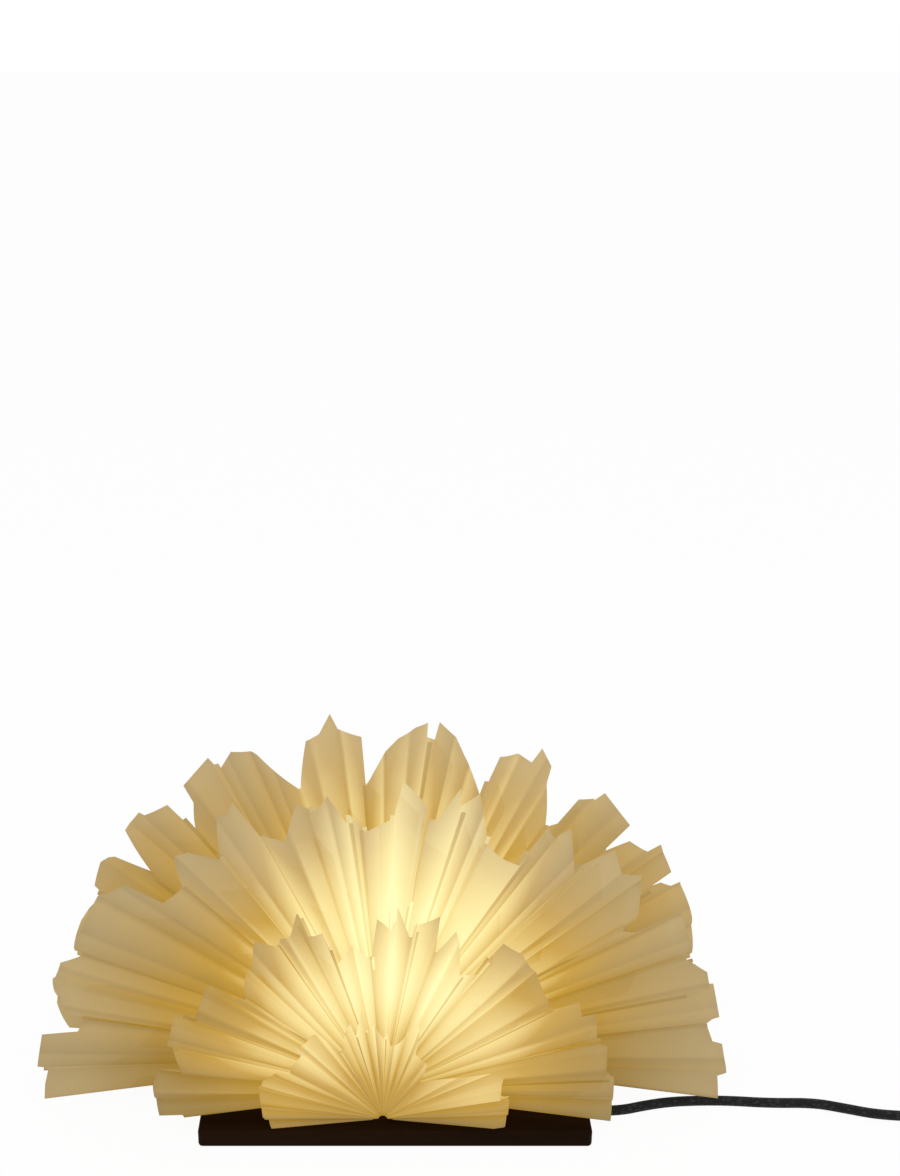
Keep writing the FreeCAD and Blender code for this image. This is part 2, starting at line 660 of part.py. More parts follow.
def small_petals():
    """Short petals of the foremost fan."""
    return (
        (-90.0, 2, ((-90, 73), (-83.2, 77))),
        (-83.0, 2, ((-82.7, 79), (-76.6, 81.5))),
        (-76.4, 3, ((-76.1, 82), (-70.5, 85), (-65, 85.5), (-62.2, 79))),
        (-62.0, 2, ((-58.5, 71), (-50.5, 76), (-44.4, 74))),
        (-44.0, 3, ((-43.6, 82), (-40, 84), (-33, 84), (-28, 76), (-24.8, 65))),
        (-24.5, 2, ((-22.5, 65), (-20, 71), (-14.4, 84), (-13.7, 72))),
        (-13.5, 1, ((-8.9, 87), (-8.6, 70))),
        (-8.4, 2, ((-3.8, 83), (1.2, 64))),
        (1.4, 2, ((2.3, 69), (4.4, 62), (9.8, 66), (12.8, 69))),
        (13.0, 2, ((15.6, 85.5), (21.7, 56))),
        (22.0, 2, ((30, 57), (37.6, 39))),
        (38.0, 3, ((38.5, 39), (63.7, 87), (66, 84), (72.4, 80))),
        (72.6, 4, ((73, 85.5), (77, 81), (77.6, 84), (89, 80), (90, 73))),
    )


def middle_petals():
    """Petals of the middle fan."""
    return (
        (-90.0, 4, ((-90, 133), (-89.3, 134), (-88.9, 149), (-86, 151), (-80.6, 154), (-76.5, 150),
                    (-74.5, 137))),
        (-74.2, 3, ((-72, 142), (-69, 148), (-68.4, 152), (-64.5, 154), (-60.3, 156))),
        (-60.0, 3, ((-59.7, 143), (-57.1, 143), (-56.8, 146), (-52, 149), (-47, 152), (-46, 135))),
        (-44.0, 3, ((-44, 129), (-40.5, 137), (-36.5, 141), (-31, 159), (-28, 142))),
        (-27.8, 2, ((-25.6, 151), (-23, 151), (-20, 160))),
        (-19.8, 1, ((-19.5, 146), (-14.8, 152))),
        (-14.5, 2, ((-14.2, 119), (-12, 123.5), (-9, 126), (-6, 123), (-3.5, 119))),
        (-3.3, 1, ((-1.5, 152), (0, 147), (2.8, 135))),
        (3.0, 1, ((3.3, 158), (5.2, 149), (7.2, 139))),
        (7.4, 1, ((8.0, 154), (8.5, 140))),
        (8.6, 1, ((13.2, 157), (14.7, 132))),
        (14.9, 2, ((17.8, 151), (24.7, 118))),
        (25.0, 1, ((25.3, 122.5), (30.0, 122.5))),
        (30.3, 4, ((30.7, 150), (34.8, 155), (43.5, 144), (50, 140), (54.9, 131))),
        (55.1, 2, ((56, 153), (58.8, 151), (59.2, 160), (68, 150.5))),
        (68.3, 2, ((68.8, 157), (75, 152), (77.4, 149), (79.0, 150))),
        (79.2, 3, ((79.5, 155), (86, 152.5), (90, 152))),
    )


def large_petals():
    """Petals of the large fan that makes the outline."""
    return (
        (-90.0, 1, ((-90, 231), (-87.5, 230), (-85.7, 228))),
        (-85.4, 2, ((-85, 235), (-77.6, 234), (-76.8, 211))),
        (-75.5, 4, ((-75.5, 209), (-75.1, 218), (-69.8, 230), (-69.4, 233), (-64.3, 236), (-61.3, 218))),
        (-61.0, 4, ((-60.7, 233), (-58, 237), (-53, 240), (-49, 240), (-45, 237), (-43.8, 208))),
        (-40.2, 2, ((-40.2, 203), (-36, 230), (-34, 226), (-31.2, 205))),
        (-31.0, 2, ((-26.6, 239), (-25.6, 235), (-23.9, 240), (-22.8, 206))),
        (-22.4, 2, ((-20, 205), (-18.5, 202), (-14.5, 226), (-13, 217))),
        (-12.8, 2, ((-9, 236), (-6.6, 206))),
        (-6.3, 1, ((-5.5, 205), (-4.1, 203))),
        (-3.9, 1, ((-3.6, 200), (0, 203.5), (1.5, 203.5))),
        (1.7, 1, ((2.8, 238), (6, 229), (6.9, 223))),
        (7.2, 1, ((7.2, 140), (7.6, 214), (9.2, 213), (11.7, 237), (13, 215))),
        (13.2, 2, ((15, 234), (19.4, 200))),
        (19.6, 1, ((22.2, 197), (26.2, 199))),
        (26.4, 3, ((26.8, 232), (29.8, 222), (30.6, 235), (34, 219), (36.8, 207))),
        (37.1, 3, ((38.6, 238), (42, 230), (45, 236), (47.5, 227), (50.6, 215))),
        (51.0, 3, ((51.1, 202), (53.5, 208), (54.7, 238), (58, 236), (61, 231), (61.8, 224))),
        (62.2, 2, ((63, 231), (64.2, 237), (68, 234))),
        (69.0, 2, ((69, 216), (69.5, 234.5), (75, 233), (75.4, 228), (77.2, 223.5))),
        (77.4, 3, ((79.2, 226), (79.6, 232), (86.3, 234), (86.7, 228), (90, 229))),
    )


def inner_petals():
    """Petals of the tall fan just before the bulb."""
    return (
        (-90.0, 3, ((-90, 226), (-86, 236), (-80, 238), (-75.5, 222))),
        (-75.2, 3, ((-75, 228), (-68, 229), (-61.6, 224))),
        (-61.4, 2, ((-61.1, 231), (-57.5, 236), (-55, 230), (-51.6, 197))),
        (-51.4, 3, ((-48.6, 237), (-44, 240), (-43.7, 236), (-40.3, 230))),
        (-40.0, 2, ((-39.8, 203), (-36, 221), (-35.6, 235), (-30.2, 241))),
        (-29.9, 4, ((-29.7, 229), (-26, 239), (-22.4, 229), (-17.1, 195))),
        (-16.9, 3, ((-13.4, 231), (-11, 234), (-8.9, 245), (-8, 233), (-4, 229), (-3.7, 195))),
        (-3.5, 3, ((2.2, 229), (5, 238), (6.9, 240), (7.2, 226))),
        (7.5, 3, ((8.7, 226), (9.0, 239), (12, 232), (14.5, 219), (19.6, 196))),
        (19.8, 4, ((20.1, 228), (23, 232), (25.6, 232), (26, 244), (29, 235), (30, 224), (34, 198))),
        (34.2, 3, ((35.6, 204), (36, 226), (39, 231), (39.4, 239), (46.5, 234), (46.9, 211))),
        (47.7, 3, ((47.8, 208), (49, 226), (52.3, 231), (52.8, 241), (58, 236), (58.4, 211))),
        (58.8, 4, ((59.4, 226), (61.6, 231), (62, 238), (71, 234), (75, 228))),
        (75.2, 3, ((75.6, 221), (79, 235), (86, 236), (90, 227))),
    )


def ray(angle, lean):
    """Direction of a fold: so many degrees from upright, leaning forward."""
    a = math.radians(angle)
    b = math.radians(lean)
    return point(math.sin(a) * math.cos(b), -math.sin(b), math.cos(a) * math.cos(b))


def reach_at(rim, angle):
    """Reach of the cut edge at an angle, in line between its points."""
    for (a0, r0), (a1, r1) in zip(rim, rim[1:]):
        if a0 <= angle <= a1:
            return r0 + (r1 - r0) * (angle - a0) / (a1 - a0)
    return rim[-1][1]


def fold_table(petals, reach, lean, pleat, foot_reach):
    """The folds in order, as angle, direction, inner and outer reach, with a foot at each end."""
    drawn = max(r for petal in petals for a, r in petal[2])
    rim = [(a, r * reach / drawn) for petal in petals for a, r in petal[2]]
    starts = [petal[0] for petal in petals] + [90.0]
    angles = []
    for i, petal in enumerate(petals):
        angles += [starts[i] + (starts[i + 1] - starts[i]) * k / petal[1] for k in range(petal[1])]
    angles.append(90.0)
    folds = [(-90.0, ray(-90, lean - FOOT_SPREAD), ROOT_RADIUS_FOOT, foot_reach)]
    last = len(angles) - 1
    for i, angle in enumerate(angles):
        swing = pleat if i % 2 == 0 else -pleat
        edge = min(i, last - i)
        inner = ROOT_RADIUS_END if edge == 0 else ROOT_RADIUS_FOLD if edge == 1 else ROOT_RADIUS
        folds.append((angle, ray(angle, lean + swing), inner, reach_at(rim, angle)))
    folds.append((90.0, ray(90, lean - FOOT_SPREAD), ROOT_RADIUS_FOOT, foot_reach))
    return folds, rim


def mitre(direction, first_normal, second_normal):
    """The shift of a fold's line that keeps it half the paper's thickness off both panels."""
    both = (first_normal + second_normal).normalize()
    return both * (PAPER / 2 / both.dot(first_normal))


def flat_face(corners):
    return Part.Face(Part.makePolygon(corners + [corners[0]]))


def fan(petals, reach, root, lean, pleat, foot_reach):
    """One pleated fan: flat panels between folds that meet at the root, of even thickness."""
    folds, rim = fold_table(petals, reach, lean, pleat, foot_reach)
    apex = point(FAN_AXIS_X, -root, BOARD_TOP + PAPER / 2)
    panels = len(folds) - 1
    normals = [folds[i + 1][1].cross(folds[i][1]).normalize() for i in range(panels)]
    shifts = [normals[0] * (PAPER / 2)]
    shifts += [mitre(folds[i][1], normals[i - 1], normals[i]) for i in range(1, panels)]
    shifts.append(normals[-1] * (PAPER / 2))
    faces = []
    for i in range(panels):
        a0, d0, in0, out0 = folds[i]
        a1, d1, in1, out1 = folds[i + 1]
        line = [(0.0, out0)]
        if 0 < i < panels - 1:
            line += [((a - a0) / (a1 - a0), r) for a, r in rim if a0 + 0.02 < a < a1 - 0.02]
        line.append((1.0, out1))
        near = []
        far = []
        for share, edge in line:
            along = (d0 * (1 - share) + d1 * share).normalize() * edge
            shift = shifts[i] * (1 - share) + shifts[i + 1] * share
            near.append(apex + along + shift)
            far.append(apex + along - shift)
        in_near = [apex + d0 * in0 + shifts[i], apex + d1 * in1 + shifts[i + 1]]
        in_far = [apex + d0 * in0 - shifts[i], apex + d1 * in1 - shifts[i + 1]]
        faces.append(flat_face([in_near[0]] + near + [in_near[1]]))
        faces.append(flat_face([in_far[1]] + far[::-1] + [in_far[0]]))
        for k in range(len(line) - 1):
            faces.append(flat_face([near[k], far[k], far[k + 1]]))
            faces.append(flat_face([near[k], far[k + 1], near[k + 1]]))
        faces.append(flat_face([in_near[1], in_far[1], in_far[0]]))
        faces.append(flat_face([in_near[1], in_far[0], in_near[0]]))
        if i == 0:
            faces.append(flat_face([in_near[0], in_far[0], far[0], near[0]]))
        if i == panels - 1:
            faces.append(flat_face([near[-1], far[-1], in_far[1], in_near[1]]))
    sheet = Part.makeCompound(faces)
    sheet.sewShape()
    solid = Part.makeSolid(sheet.Shells[0])
    if solid.Volume < 0:
        solid.reverse()
    return solid


def turned_half(shape):
    """The same piece on the other side of the lamp's axis."""
    copy = shape.copy()
    copy.rotate(point(FAN_AXIS_X, LAMP_Y, 0), UP, 180)
    return copy


# Cord switch

def switch_outline():
    """Outline from above: a lozenge with straight flanks and narrow square ends."""
    half = SWITCH_LENGTH / 2
    side = SWITCH_WIDTH / 2
    end = SWITCH_END_WIDTH / 2
    flank = half - SWITCH_TAPER
    corners = [(-half, -end), (-flank, -side), (flank, -side), (half, -end),
               (half, end), (flank, side), (-flank, side), (-half, end)]
    ring = [point(SWITCH_MIDDLE_X + x, SWITCH_Y + y, 0) for x, y in corners]
    return Part.Face(Part.makePolygon(ring + [ring[0]]))


def switch_body():
    body = switch_outline().extrude(UP * SWITCH_HEIGHT)
    upright = [e for e in body.Edges
               if abs(e.tangentAt(e.FirstParameter).z) > 0.9
               and abs(e.Vertexes[0].X - SWITCH_MIDDLE_X) < SWITCH_LENGTH / 2 - 1]
    body = body.makeFillet(SWITCH_TAPER / 2, upright)
    rim = [e for e in body.Edges
           if abs(e.CenterOfMass.z) < 0.01 or abs(e.CenterOfMass.z - SWITCH_HEIGHT) < 0.01]
    return body.makeFillet(SWITCH_ROUND, rim)


def switch_window():
    """The room for the rocker, through the upper shell and into the lower one."""
    return Part.makeBox(WINDOW_LENGTH, WINDOW_WIDTH, SWITCH_HEIGHT - WINDOW_FLOOR,
                        point(SWITCH_MIDDLE_X - WINDOW_LENGTH / 2, SWITCH_Y - WINDOW_WIDTH / 2, WINDOW_FLOOR))


def pivot_rod(radius, reach):
    length = WINDOW_WIDTH + 2 * reach
    return Part.makeCylinder(radius, length,
                             point(SWITCH_MIDDLE_X, SWITCH_Y - length / 2, ROCKER_PIVOT_Z), UNIT_Y)


def switch_screw(side, extra):
    x = SWITCH_MIDDLE_X + side * SCREW_OFFSET
    head = cylinder(SCREW_HEAD_RADIUS + extra, SCREW_RECESS, SCREW_RECESS + SCREW_HEAD_HEIGHT, x, SWITCH_Y)
    shank = cylinder(SCREW_RADIUS + extra, SCREW_RECESS, SCREW_RECESS + SCREW_LENGTH, x, SWITCH_Y)
    return head.fuse(shank)


def screw_well(side):
    x = SWITCH_MIDDLE_X + side * SCREW_OFFSET
    return cylinder(SCREW_HEAD_RADIUS + SCREW_CLEARANCE, 0, SCREW_RECESS, x, SWITCH_Y)


def switch_half(low, high):
    slab = Part.makeBox(SWITCH_LENGTH, SWITCH_WIDTH, high - low,
                        point(SWITCH_START_X, SWITCH_Y - SWITCH_WIDTH / 2, low))
    cuts = [switch_window(), pivot_rod(ROCKER_PIN_RADIUS + ROCKER_PIN_CLEARANCE, ROCKER_PIN_REACH + 0.3)]
    for side in (-1, 1):
        cuts += [switch_screw(side, SCREW_CLEARANCE), screw_well(side)]
    return switch_body().common(slab).cut(cuts)


def switch_rocker():
    """The rocker on its cross pins, one end pressed down: two flats that meet over the pivot."""
    half = ROCKER_LENGTH / 2
    top = ROCKER_PIVOT_Z + ROCKER_RISE
    end_top = ROCKER_PIVOT_Z + ROCKER_END_RISE
    low = ROCKER_PIVOT_Z - ROCKER_SKIRT
    keel = ROCKER_PIVOT_Z - 4.5
    slope = half - ROCKER_END_SLOPE
    corners = [(-slope, end_top), (0, top), (slope, end_top), (half - 0.2, ROCKER_PIVOT_Z + 1),
               (half - 0.8, low + 1), (3.5, low), (1.2, keel), (-1.2, keel), (-3.5, low),
               (-half + 0.8, low + 1), (-half + 0.2, ROCKER_PIVOT_Z + 1)]
    ring = [point(SWITCH_MIDDLE_X + x, SWITCH_Y - ROCKER_WIDTH / 2, z) for x, z in corners]
    body = Part.Face(Part.makePolygon(ring + [ring[0]])).extrude(UNIT_Y * ROCKER_WIDTH)
    body = body.fuse(pivot_rod(ROCKER_PIN_RADIUS, ROCKER_PIN_REACH)).removeSplitter()
    body.rotate(point(SWITCH_MIDDLE_X, SWITCH_Y, ROCKER_PIVOT_Z), UNIT_Y, ROCKER_TILT)
    return body


def switch_contacts():
    """Two contact blocks on the floor of the rocker's room."""
    size = SWITCH_CONTACT_SIZE
    blocks = [Part.makeBox(size, size, SWITCH_CONTACT_HEIGHT,
                           point(SWITCH_MIDDLE_X + side * SWITCH_CONTACT_SPACING / 2 - size / 2,
                                 SWITCH_Y - size / 2, WINDOW_FLOOR)) for side in (-1, 1)]
    return Part.makeCompound(blocks)


# Ties and plug

def coil_tie(angle):
    """A flat strap round all the turns, square to them."""
    clear = TIE_CLEARANCE
    inner_low = CORD_DIAMETER / 2
    r_in = coil_radius(COIL_IN + COIL_CLIMB / 2) - inner_low - clear
    r_out = COIL_RADIUS + inner_low + clear
    z_in = COIL_Z - inner_low - 0.1
    z_out = COIL_Z + COIL_PITCH + inner_low + clear
    hole = Part.makeBox(r_out - r_in, TIE_WIDTH, z_out - z_in, point(r_in, -TIE_WIDTH / 2, z_in))
    skin = Part.makeBox(r_out - r_in + 2 * TIE_THICK, TIE_WIDTH, z_out - z_in + 2 * TIE_THICK,
                        point(r_in - TIE_THICK, -TIE_WIDTH / 2, z_in - TIE_THICK))
    across = [e for e in skin.Edges if abs(e.tangentAt(e.FirstParameter).y) > 0.9]
    strap = skin.makeFillet(TIE_THICK, across).cut(hole)
    strap.rotate(point(0, 0, 0), UP, angle)
    strap.translate(point(COIL_MIDDLE_X, COIL_Y, 0))
    return strap


def plug_frame(at, heading):
    """Places what is drawn along +X from the origin at a point, along a level heading."""
    turn = math.degrees(math.atan2(heading.y, heading.x))
    return FreeCAD.Placement(at, FreeCAD.Rotation(UP, turn))


def placed(shape, placement):
    moved = shape.copy()
    moved.Placement = placement.multiply(moved.Placement)
    return moved


def rounded_section(x, width, thick, corner):
    """An upright rounded rectangle, square to X."""
    w = width / 2
    t = thick / 2
    k = corner * (1 - math.sqrt(0.5))
    quarter = [((w - corner, t), (w - k, t - k), (w, t - corner)),
               ((w, corner - t), (w - k, k - t), (w - corner, -t)),
               ((corner - w, -t), (k - w, k - t), (-w, corner - t)),
               ((-w, t - corner), (k - w, t - k), (corner - w, t))]
    edges = []
    last = None
    for start, middle, end in quarter:
        a, b, c = [point(x, y, z) for y, z in (start, middle, end)]
        if last is not None:
            edges.append(Part.LineSegment(last, a).toShape())
        edges.append(Part.Arc(a, b, c).toShape())
        last = c
    edges.append(Part.LineSegment(last, edges[0].Vertexes[0].Point).toShape())
    return Part.Wire(edges)


def plug_relief():
    """A tapered sleeve with ring grooves between the lead and the plug."""
    ribs = 4
    pitch = PLUG_RELIEF_LENGTH / (ribs + 1)
    profile = [(0.0, 0.0), (0.0, PLUG_RELIEF_TIP)]
    for i in range(ribs):
        x = pitch * (i + 0.8)
        r = PLUG_RELIEF_TIP + (PLUG_RELIEF_RADIUS - PLUG_RELIEF_TIP) * x / PLUG_RELIEF_LENGTH
        profile += [(x - 1.0, r), (x - 0.6, r - 0.6), (x + 0.6, r - 0.6), (x + 1.0, r)]
    profile += [(PLUG_RELIEF_LENGTH, PLUG_RELIEF_RADIUS), (PLUG_RELIEF_LENGTH, 0.0)]
    wire = Part.makePolygon([point(x, 0, r) for x, r in profile + [profile[0]]])
    return Part.Face(wire).revolve(point(0, 0, 0), UNIT_X, 360)


def plug_pin(side):
    y = side * PIN_SPACING / 2
    start = PLUG_RELIEF_LENGTH + PLUG_LENGTH - PIN_ROOT
    sleeve = Part.makeCylinder(PIN_SLEEVE_RADIUS, PIN_ROOT + PIN_SLEEVE, point(start, y, 0), UNIT_X)
    bare_start = start + PIN_ROOT + PIN_SLEEVE
    bare = Part.makeCylinder(PIN_RADIUS, PIN_LENGTH - PIN_SLEEVE, point(bare_start, y, 0), UNIT_X)
    tip = [e for e in bare.Edges if abs(e.CenterOfMass.x - bare_start - PIN_LENGTH + PIN_SLEEVE) < 0.01]
    return sleeve.fuse(bare.makeFillet(1.2, tip[:1]))


def plug_body():
    """A flat two-pin plug, widening from its neck to the face with the pins."""
    start = PLUG_RELIEF_LENGTH
    neck = rounded_section(start, PLUG_NECK_WIDTH, PLUG_NECK_THICK, 4.0)
    waist = rounded_section(start + PLUG_LENGTH * 0.45, PLUG_WIDTH * 0.72, PLUG_THICK, 4.6)
    shoulder = rounded_section(start + PLUG_LENGTH * 0.8, PLUG_WIDTH, PLUG_THICK, 5.2)
    face = rounded_section(start + PLUG_LENGTH, PLUG_WIDTH - 1.5, PLUG_THICK - 0.6, 5.0)
    body = Part.makeLoft([neck, waist, shoulder, face], True, True)
    bores = [Part.makeCylinder(PIN_SLEEVE_RADIUS, PIN_ROOT,
                               point(start + PLUG_LENGTH - PIN_ROOT, side * PIN_SPACING / 2, 0), UNIT_X)
             for side in (-1, 1)]
    return body.cut(bores)


def main():
    os.makedirs("parts", exist_ok=True)
    save("base_board", base_board())
    save("base_felt", base_felt())
    save("cord_relief", cord_relief())
    save("cord_clamp", cord_clamp())
    save("clamp_screws", Part.makeCompound(clamp_bolts()))
    save("inner_lead", swept_cord(inner_lead_edges(), CORD_DIAMETER / 2))
    save("lead_cores", lead_cores())
    save("threaded_nipple", threaded_nipple())
    save("nipple_nut", nipple_nut())
    save("holder_seat", holder_seat())
    save("holder_cap", holder_cap())
    save("holder_disc", holder_disc())
    save("holder_contact", holder_contact())
    save("holder_liner", holder_liner())
    save("holder_shell", holder_shell())
    save("bulb_cap", bulb_cap())
    save("bulb_collar", bulb_collar())
    save("bulb_globe", bulb_globe())

    save("front_small_fan", fan(small_petals(), SMALL_REACH, SMALL_ROOT, SMALL_LEAN, SMALL_PLEAT, FOOT_REACH_SMALL))
    save("front_middle_fan", fan(middle_petals(), MIDDLE_REACH, MIDDLE_ROOT, MIDDLE_LEAN, MIDDLE_PLEAT, FOOT_REACH))
    save("front_large_fan", fan(large_petals(), LARGE_REACH, LARGE_ROOT, LARGE_LEAN, LARGE_PLEAT, FOOT_REACH))
    save("front_inner_fan", fan(inner_petals(), INNER_REACH, INNER_ROOT, INNER_LEAN, INNER_PLEAT, FOOT_REACH))
    save("rear_middle_fan", turned_half(
        fan(middle_petals(), MIDDLE_REACH, REAR_MIDDLE_ROOT, REAR_MIDDLE_LEAN, MIDDLE_PLEAT, FOOT_REACH)))
    save("rear_small_fan", turned_half(
        fan(small_petals(), SMALL_REACH, REAR_SMALL_ROOT, REAR_SMALL_LEAN, SMALL_PLEAT, FOOT_REACH_SMALL)))

    relief_tip = point(BOARD_WIDTH / 2 + RELIEF_LENGTH_OUT, EXIT_Y, EXIT_Z)
    switch_in = point(SWITCH_START_X, SWITCH_Y, SWITCH_AXIS_Z)
    lead = [relief_tip] + [point(BOARD_WIDTH / 2 + x, EXIT_Y + y, z) for x, y, z in LEAD_ROUTE] + [switch_in]
    save("cord_lead", free_stretch("cord_lead", lead))

    save("switch_lower_shell", switch_half(0, SWITCH_AXIS_Z))
    save("switch_upper_shell", switch_half(SWITCH_AXIS_Z, SWITCH_HEIGHT))
    save("switch_rocker", switch_rocker())
    save("switch_contacts", switch_contacts())
    save("switch_screws", Part.makeCompound([switch_screw(side, 0) for side in (-1, 1)]))

    edges, lead_in, lead_out, heading_in, heading_out = coil_path()
    print("coil least gap to itself", round(least_self_gap(edges), 2))
    save("cord_coil", swept_cord(edges, CORD_DIAMETER / 2))
    switch_out = point(SWITCH_END_X, SWITCH_Y, SWITCH_AXIS_Z)
    third = (lead_in.x - switch_out.x) / LINK_POINTS
    link = [switch_out, switch_out + UNIT_X * third, lead_in - heading_in * third, lead_in]
    save("cord_link", free_stretch("cord_link", link))
    save("coil_ties", Part.makeCompound([coil_tie(angle) for angle in TIE_ANGLES]))

    level = point(heading_out.x, heading_out.y, 0).normalize()
    plug_at = lead_out + level * (3 * TAIL_RUN)
    plug_at = point(plug_at.x, plug_at.y, PLUG_AXIS_Z)
    tail = [lead_out, lead_out + level * TAIL_RUN, plug_at - level * TAIL_RUN, plug_at]
    save("cord_tail", free_stretch("cord_tail", tail))
    frame = plug_frame(plug_at, level)
    save("plug_relief", placed(plug_relief(), frame))
    save("plug_body", placed(plug_body(), frame))
    save("plug_pins", placed(Part.makeCompound([plug_pin(side) for side in (-1, 1)]), frame))


main()
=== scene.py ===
import json
import math

import bpy
import numpy as np
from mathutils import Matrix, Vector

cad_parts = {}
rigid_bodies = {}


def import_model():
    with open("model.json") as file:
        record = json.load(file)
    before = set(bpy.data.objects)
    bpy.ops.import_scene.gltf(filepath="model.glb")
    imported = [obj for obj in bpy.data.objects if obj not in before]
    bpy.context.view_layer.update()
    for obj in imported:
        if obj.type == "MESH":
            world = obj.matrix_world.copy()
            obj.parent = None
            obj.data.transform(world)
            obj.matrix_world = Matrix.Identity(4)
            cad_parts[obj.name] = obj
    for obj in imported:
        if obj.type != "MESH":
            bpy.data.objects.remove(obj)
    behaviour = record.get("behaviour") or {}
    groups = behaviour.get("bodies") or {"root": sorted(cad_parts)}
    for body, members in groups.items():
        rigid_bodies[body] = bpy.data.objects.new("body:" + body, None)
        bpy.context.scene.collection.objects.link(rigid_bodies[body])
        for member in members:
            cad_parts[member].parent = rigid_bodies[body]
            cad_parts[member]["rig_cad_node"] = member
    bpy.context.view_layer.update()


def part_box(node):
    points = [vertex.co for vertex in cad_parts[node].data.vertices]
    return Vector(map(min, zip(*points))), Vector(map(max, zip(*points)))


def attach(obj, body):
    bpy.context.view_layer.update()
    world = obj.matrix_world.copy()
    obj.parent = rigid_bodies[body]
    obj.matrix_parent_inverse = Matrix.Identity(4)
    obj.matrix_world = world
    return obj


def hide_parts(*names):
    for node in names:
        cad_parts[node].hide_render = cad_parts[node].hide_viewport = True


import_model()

bl_info = {
    "name": "Paper fan table lamp",
    "version": (1, 0, 0),
    "blender": (4, 5, 0),
    "location": "View3D > Sidebar > Lamp",
    "description": "Dresses the lamp's paper fans, board, bulb, lead and plug",
    "category": "Object",
}

MM = 0.001
LAMP = "lamp"

# Where the CAD model has its main levels and middles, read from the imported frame.
BOARD_LOW, BOARD_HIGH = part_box("base_board")
BOARD_TOP = BOARD_HIGH[2]
RELIEF_LOW, RELIEF_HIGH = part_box("cord_relief")
GLOBE_LOW, GLOBE_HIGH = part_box("bulb_globe")
GLOBE_RADIUS = (GLOBE_HIGH[0] - GLOBE_LOW[0]) / 2
LAMP_X = (GLOBE_HIGH[0] + GLOBE_LOW[0]) / 2
LAMP_Y = (GLOBE_HIGH[1] + GLOBE_LOW[1]) / 2
GLOBE_Z = GLOBE_HIGH[2] - GLOBE_RADIUS

# Paper fans. Each petal is its first angle in degrees from straight up, its
# number of panels, and the points of its cut edge as angle and reach from the
# root in millimetres.
PAPER = 0.3 * MM
FAN_AXIS_X = -8.0 * MM
ROOT_RADIUS = 3.0 * MM
ROOT_RADIUS_FOLD = 5.0 * MM
ROOT_RADIUS_END = 7.0 * MM
FOOT_SPREAD = 10.0

SMALL_PETALS = (
    (-90.0, 2, ((-90, 73), (-83.2, 77))),
    (-83.0, 2, ((-82.7, 79), (-76.6, 81.5))),
    (-76.4, 3, ((-76.1, 82), (-70.5, 85), (-65, 85.5), (-62.2, 79))),
    (-62.0, 2, ((-58.5, 71), (-50.5, 76), (-44.4, 74))),
    (-44.0, 3, ((-43.6, 82), (-40, 84), (-33, 84), (-28, 76), (-24.8, 65))),
    (-24.5, 2, ((-22.5, 65), (-20, 71), (-14.4, 84), (-13.7, 72))),
    (-13.5, 1, ((-8.9, 87), (-8.6, 70))),
    (-8.4, 2, ((-3.8, 83), (1.2, 64))),
    (1.4, 2, ((2.3, 69), (4.4, 62), (9.8, 66), (12.8, 69))),
    (13.0, 2, ((15.6, 85.5), (21.7, 56))),
    (22.0, 2, ((30, 57), (37.6, 39))),
    (38.0, 3, ((38.5, 39), (63.7, 87), (66, 84), (72.4, 80))),
    (72.6, 4, ((73, 85.5), (77, 81), (77.6, 84), (89, 80), (90, 73))),
)
MIDDLE_PETALS = (
    (-90.0, 4, ((-90, 133), (-89.3, 134), (-88.9, 149), (-86, 151), (-80.6, 154), (-76.5, 150),
                (-74.5, 137))),
    (-74.2, 3, ((-72, 142), (-69, 148), (-68.4, 152), (-64.5, 154), (-60.3, 156))),
    (-60.0, 3, ((-59.7, 143), (-57.1, 143), (-56.8, 146), (-52, 149), (-47, 152), (-46, 135))),
    (-44.0, 3, ((-44, 129), (-40.5, 137), (-36.5, 141), (-31, 159), (-28, 142))),
    (-27.8, 2, ((-25.6, 151), (-23, 151), (-20, 160))),
    (-19.8, 1, ((-19.5, 146), (-14.8, 152))),
    (-14.5, 2, ((-14.2, 119), (-12, 123.5), (-9, 126), (-6, 123), (-3.5, 119))),
    (-3.3, 1, ((-1.5, 152), (0, 147), (2.8, 135))),
    (3.0, 1, ((3.3, 158), (5.2, 149), (7.2, 139))),
    (7.4, 1, ((8.0, 154), (8.5, 140))),
    (8.6, 1, ((13.2, 157), (14.7, 132))),
    (14.9, 2, ((17.8, 151), (24.7, 118))),
    (25.0, 1, ((25.3, 122.5), (30.0, 122.5))),
    (30.3, 4, ((30.7, 150), (34.8, 155), (43.5, 144), (50, 140), (54.9, 131))),
    (55.1, 2, ((56, 153), (58.8, 151), (59.2, 160), (68, 150.5))),
    (68.3, 2, ((68.8, 157), (75, 152), (77.4, 149), (79.0, 150))),
    (79.2, 3, ((79.5, 155), (86, 152.5), (90, 152))),
)
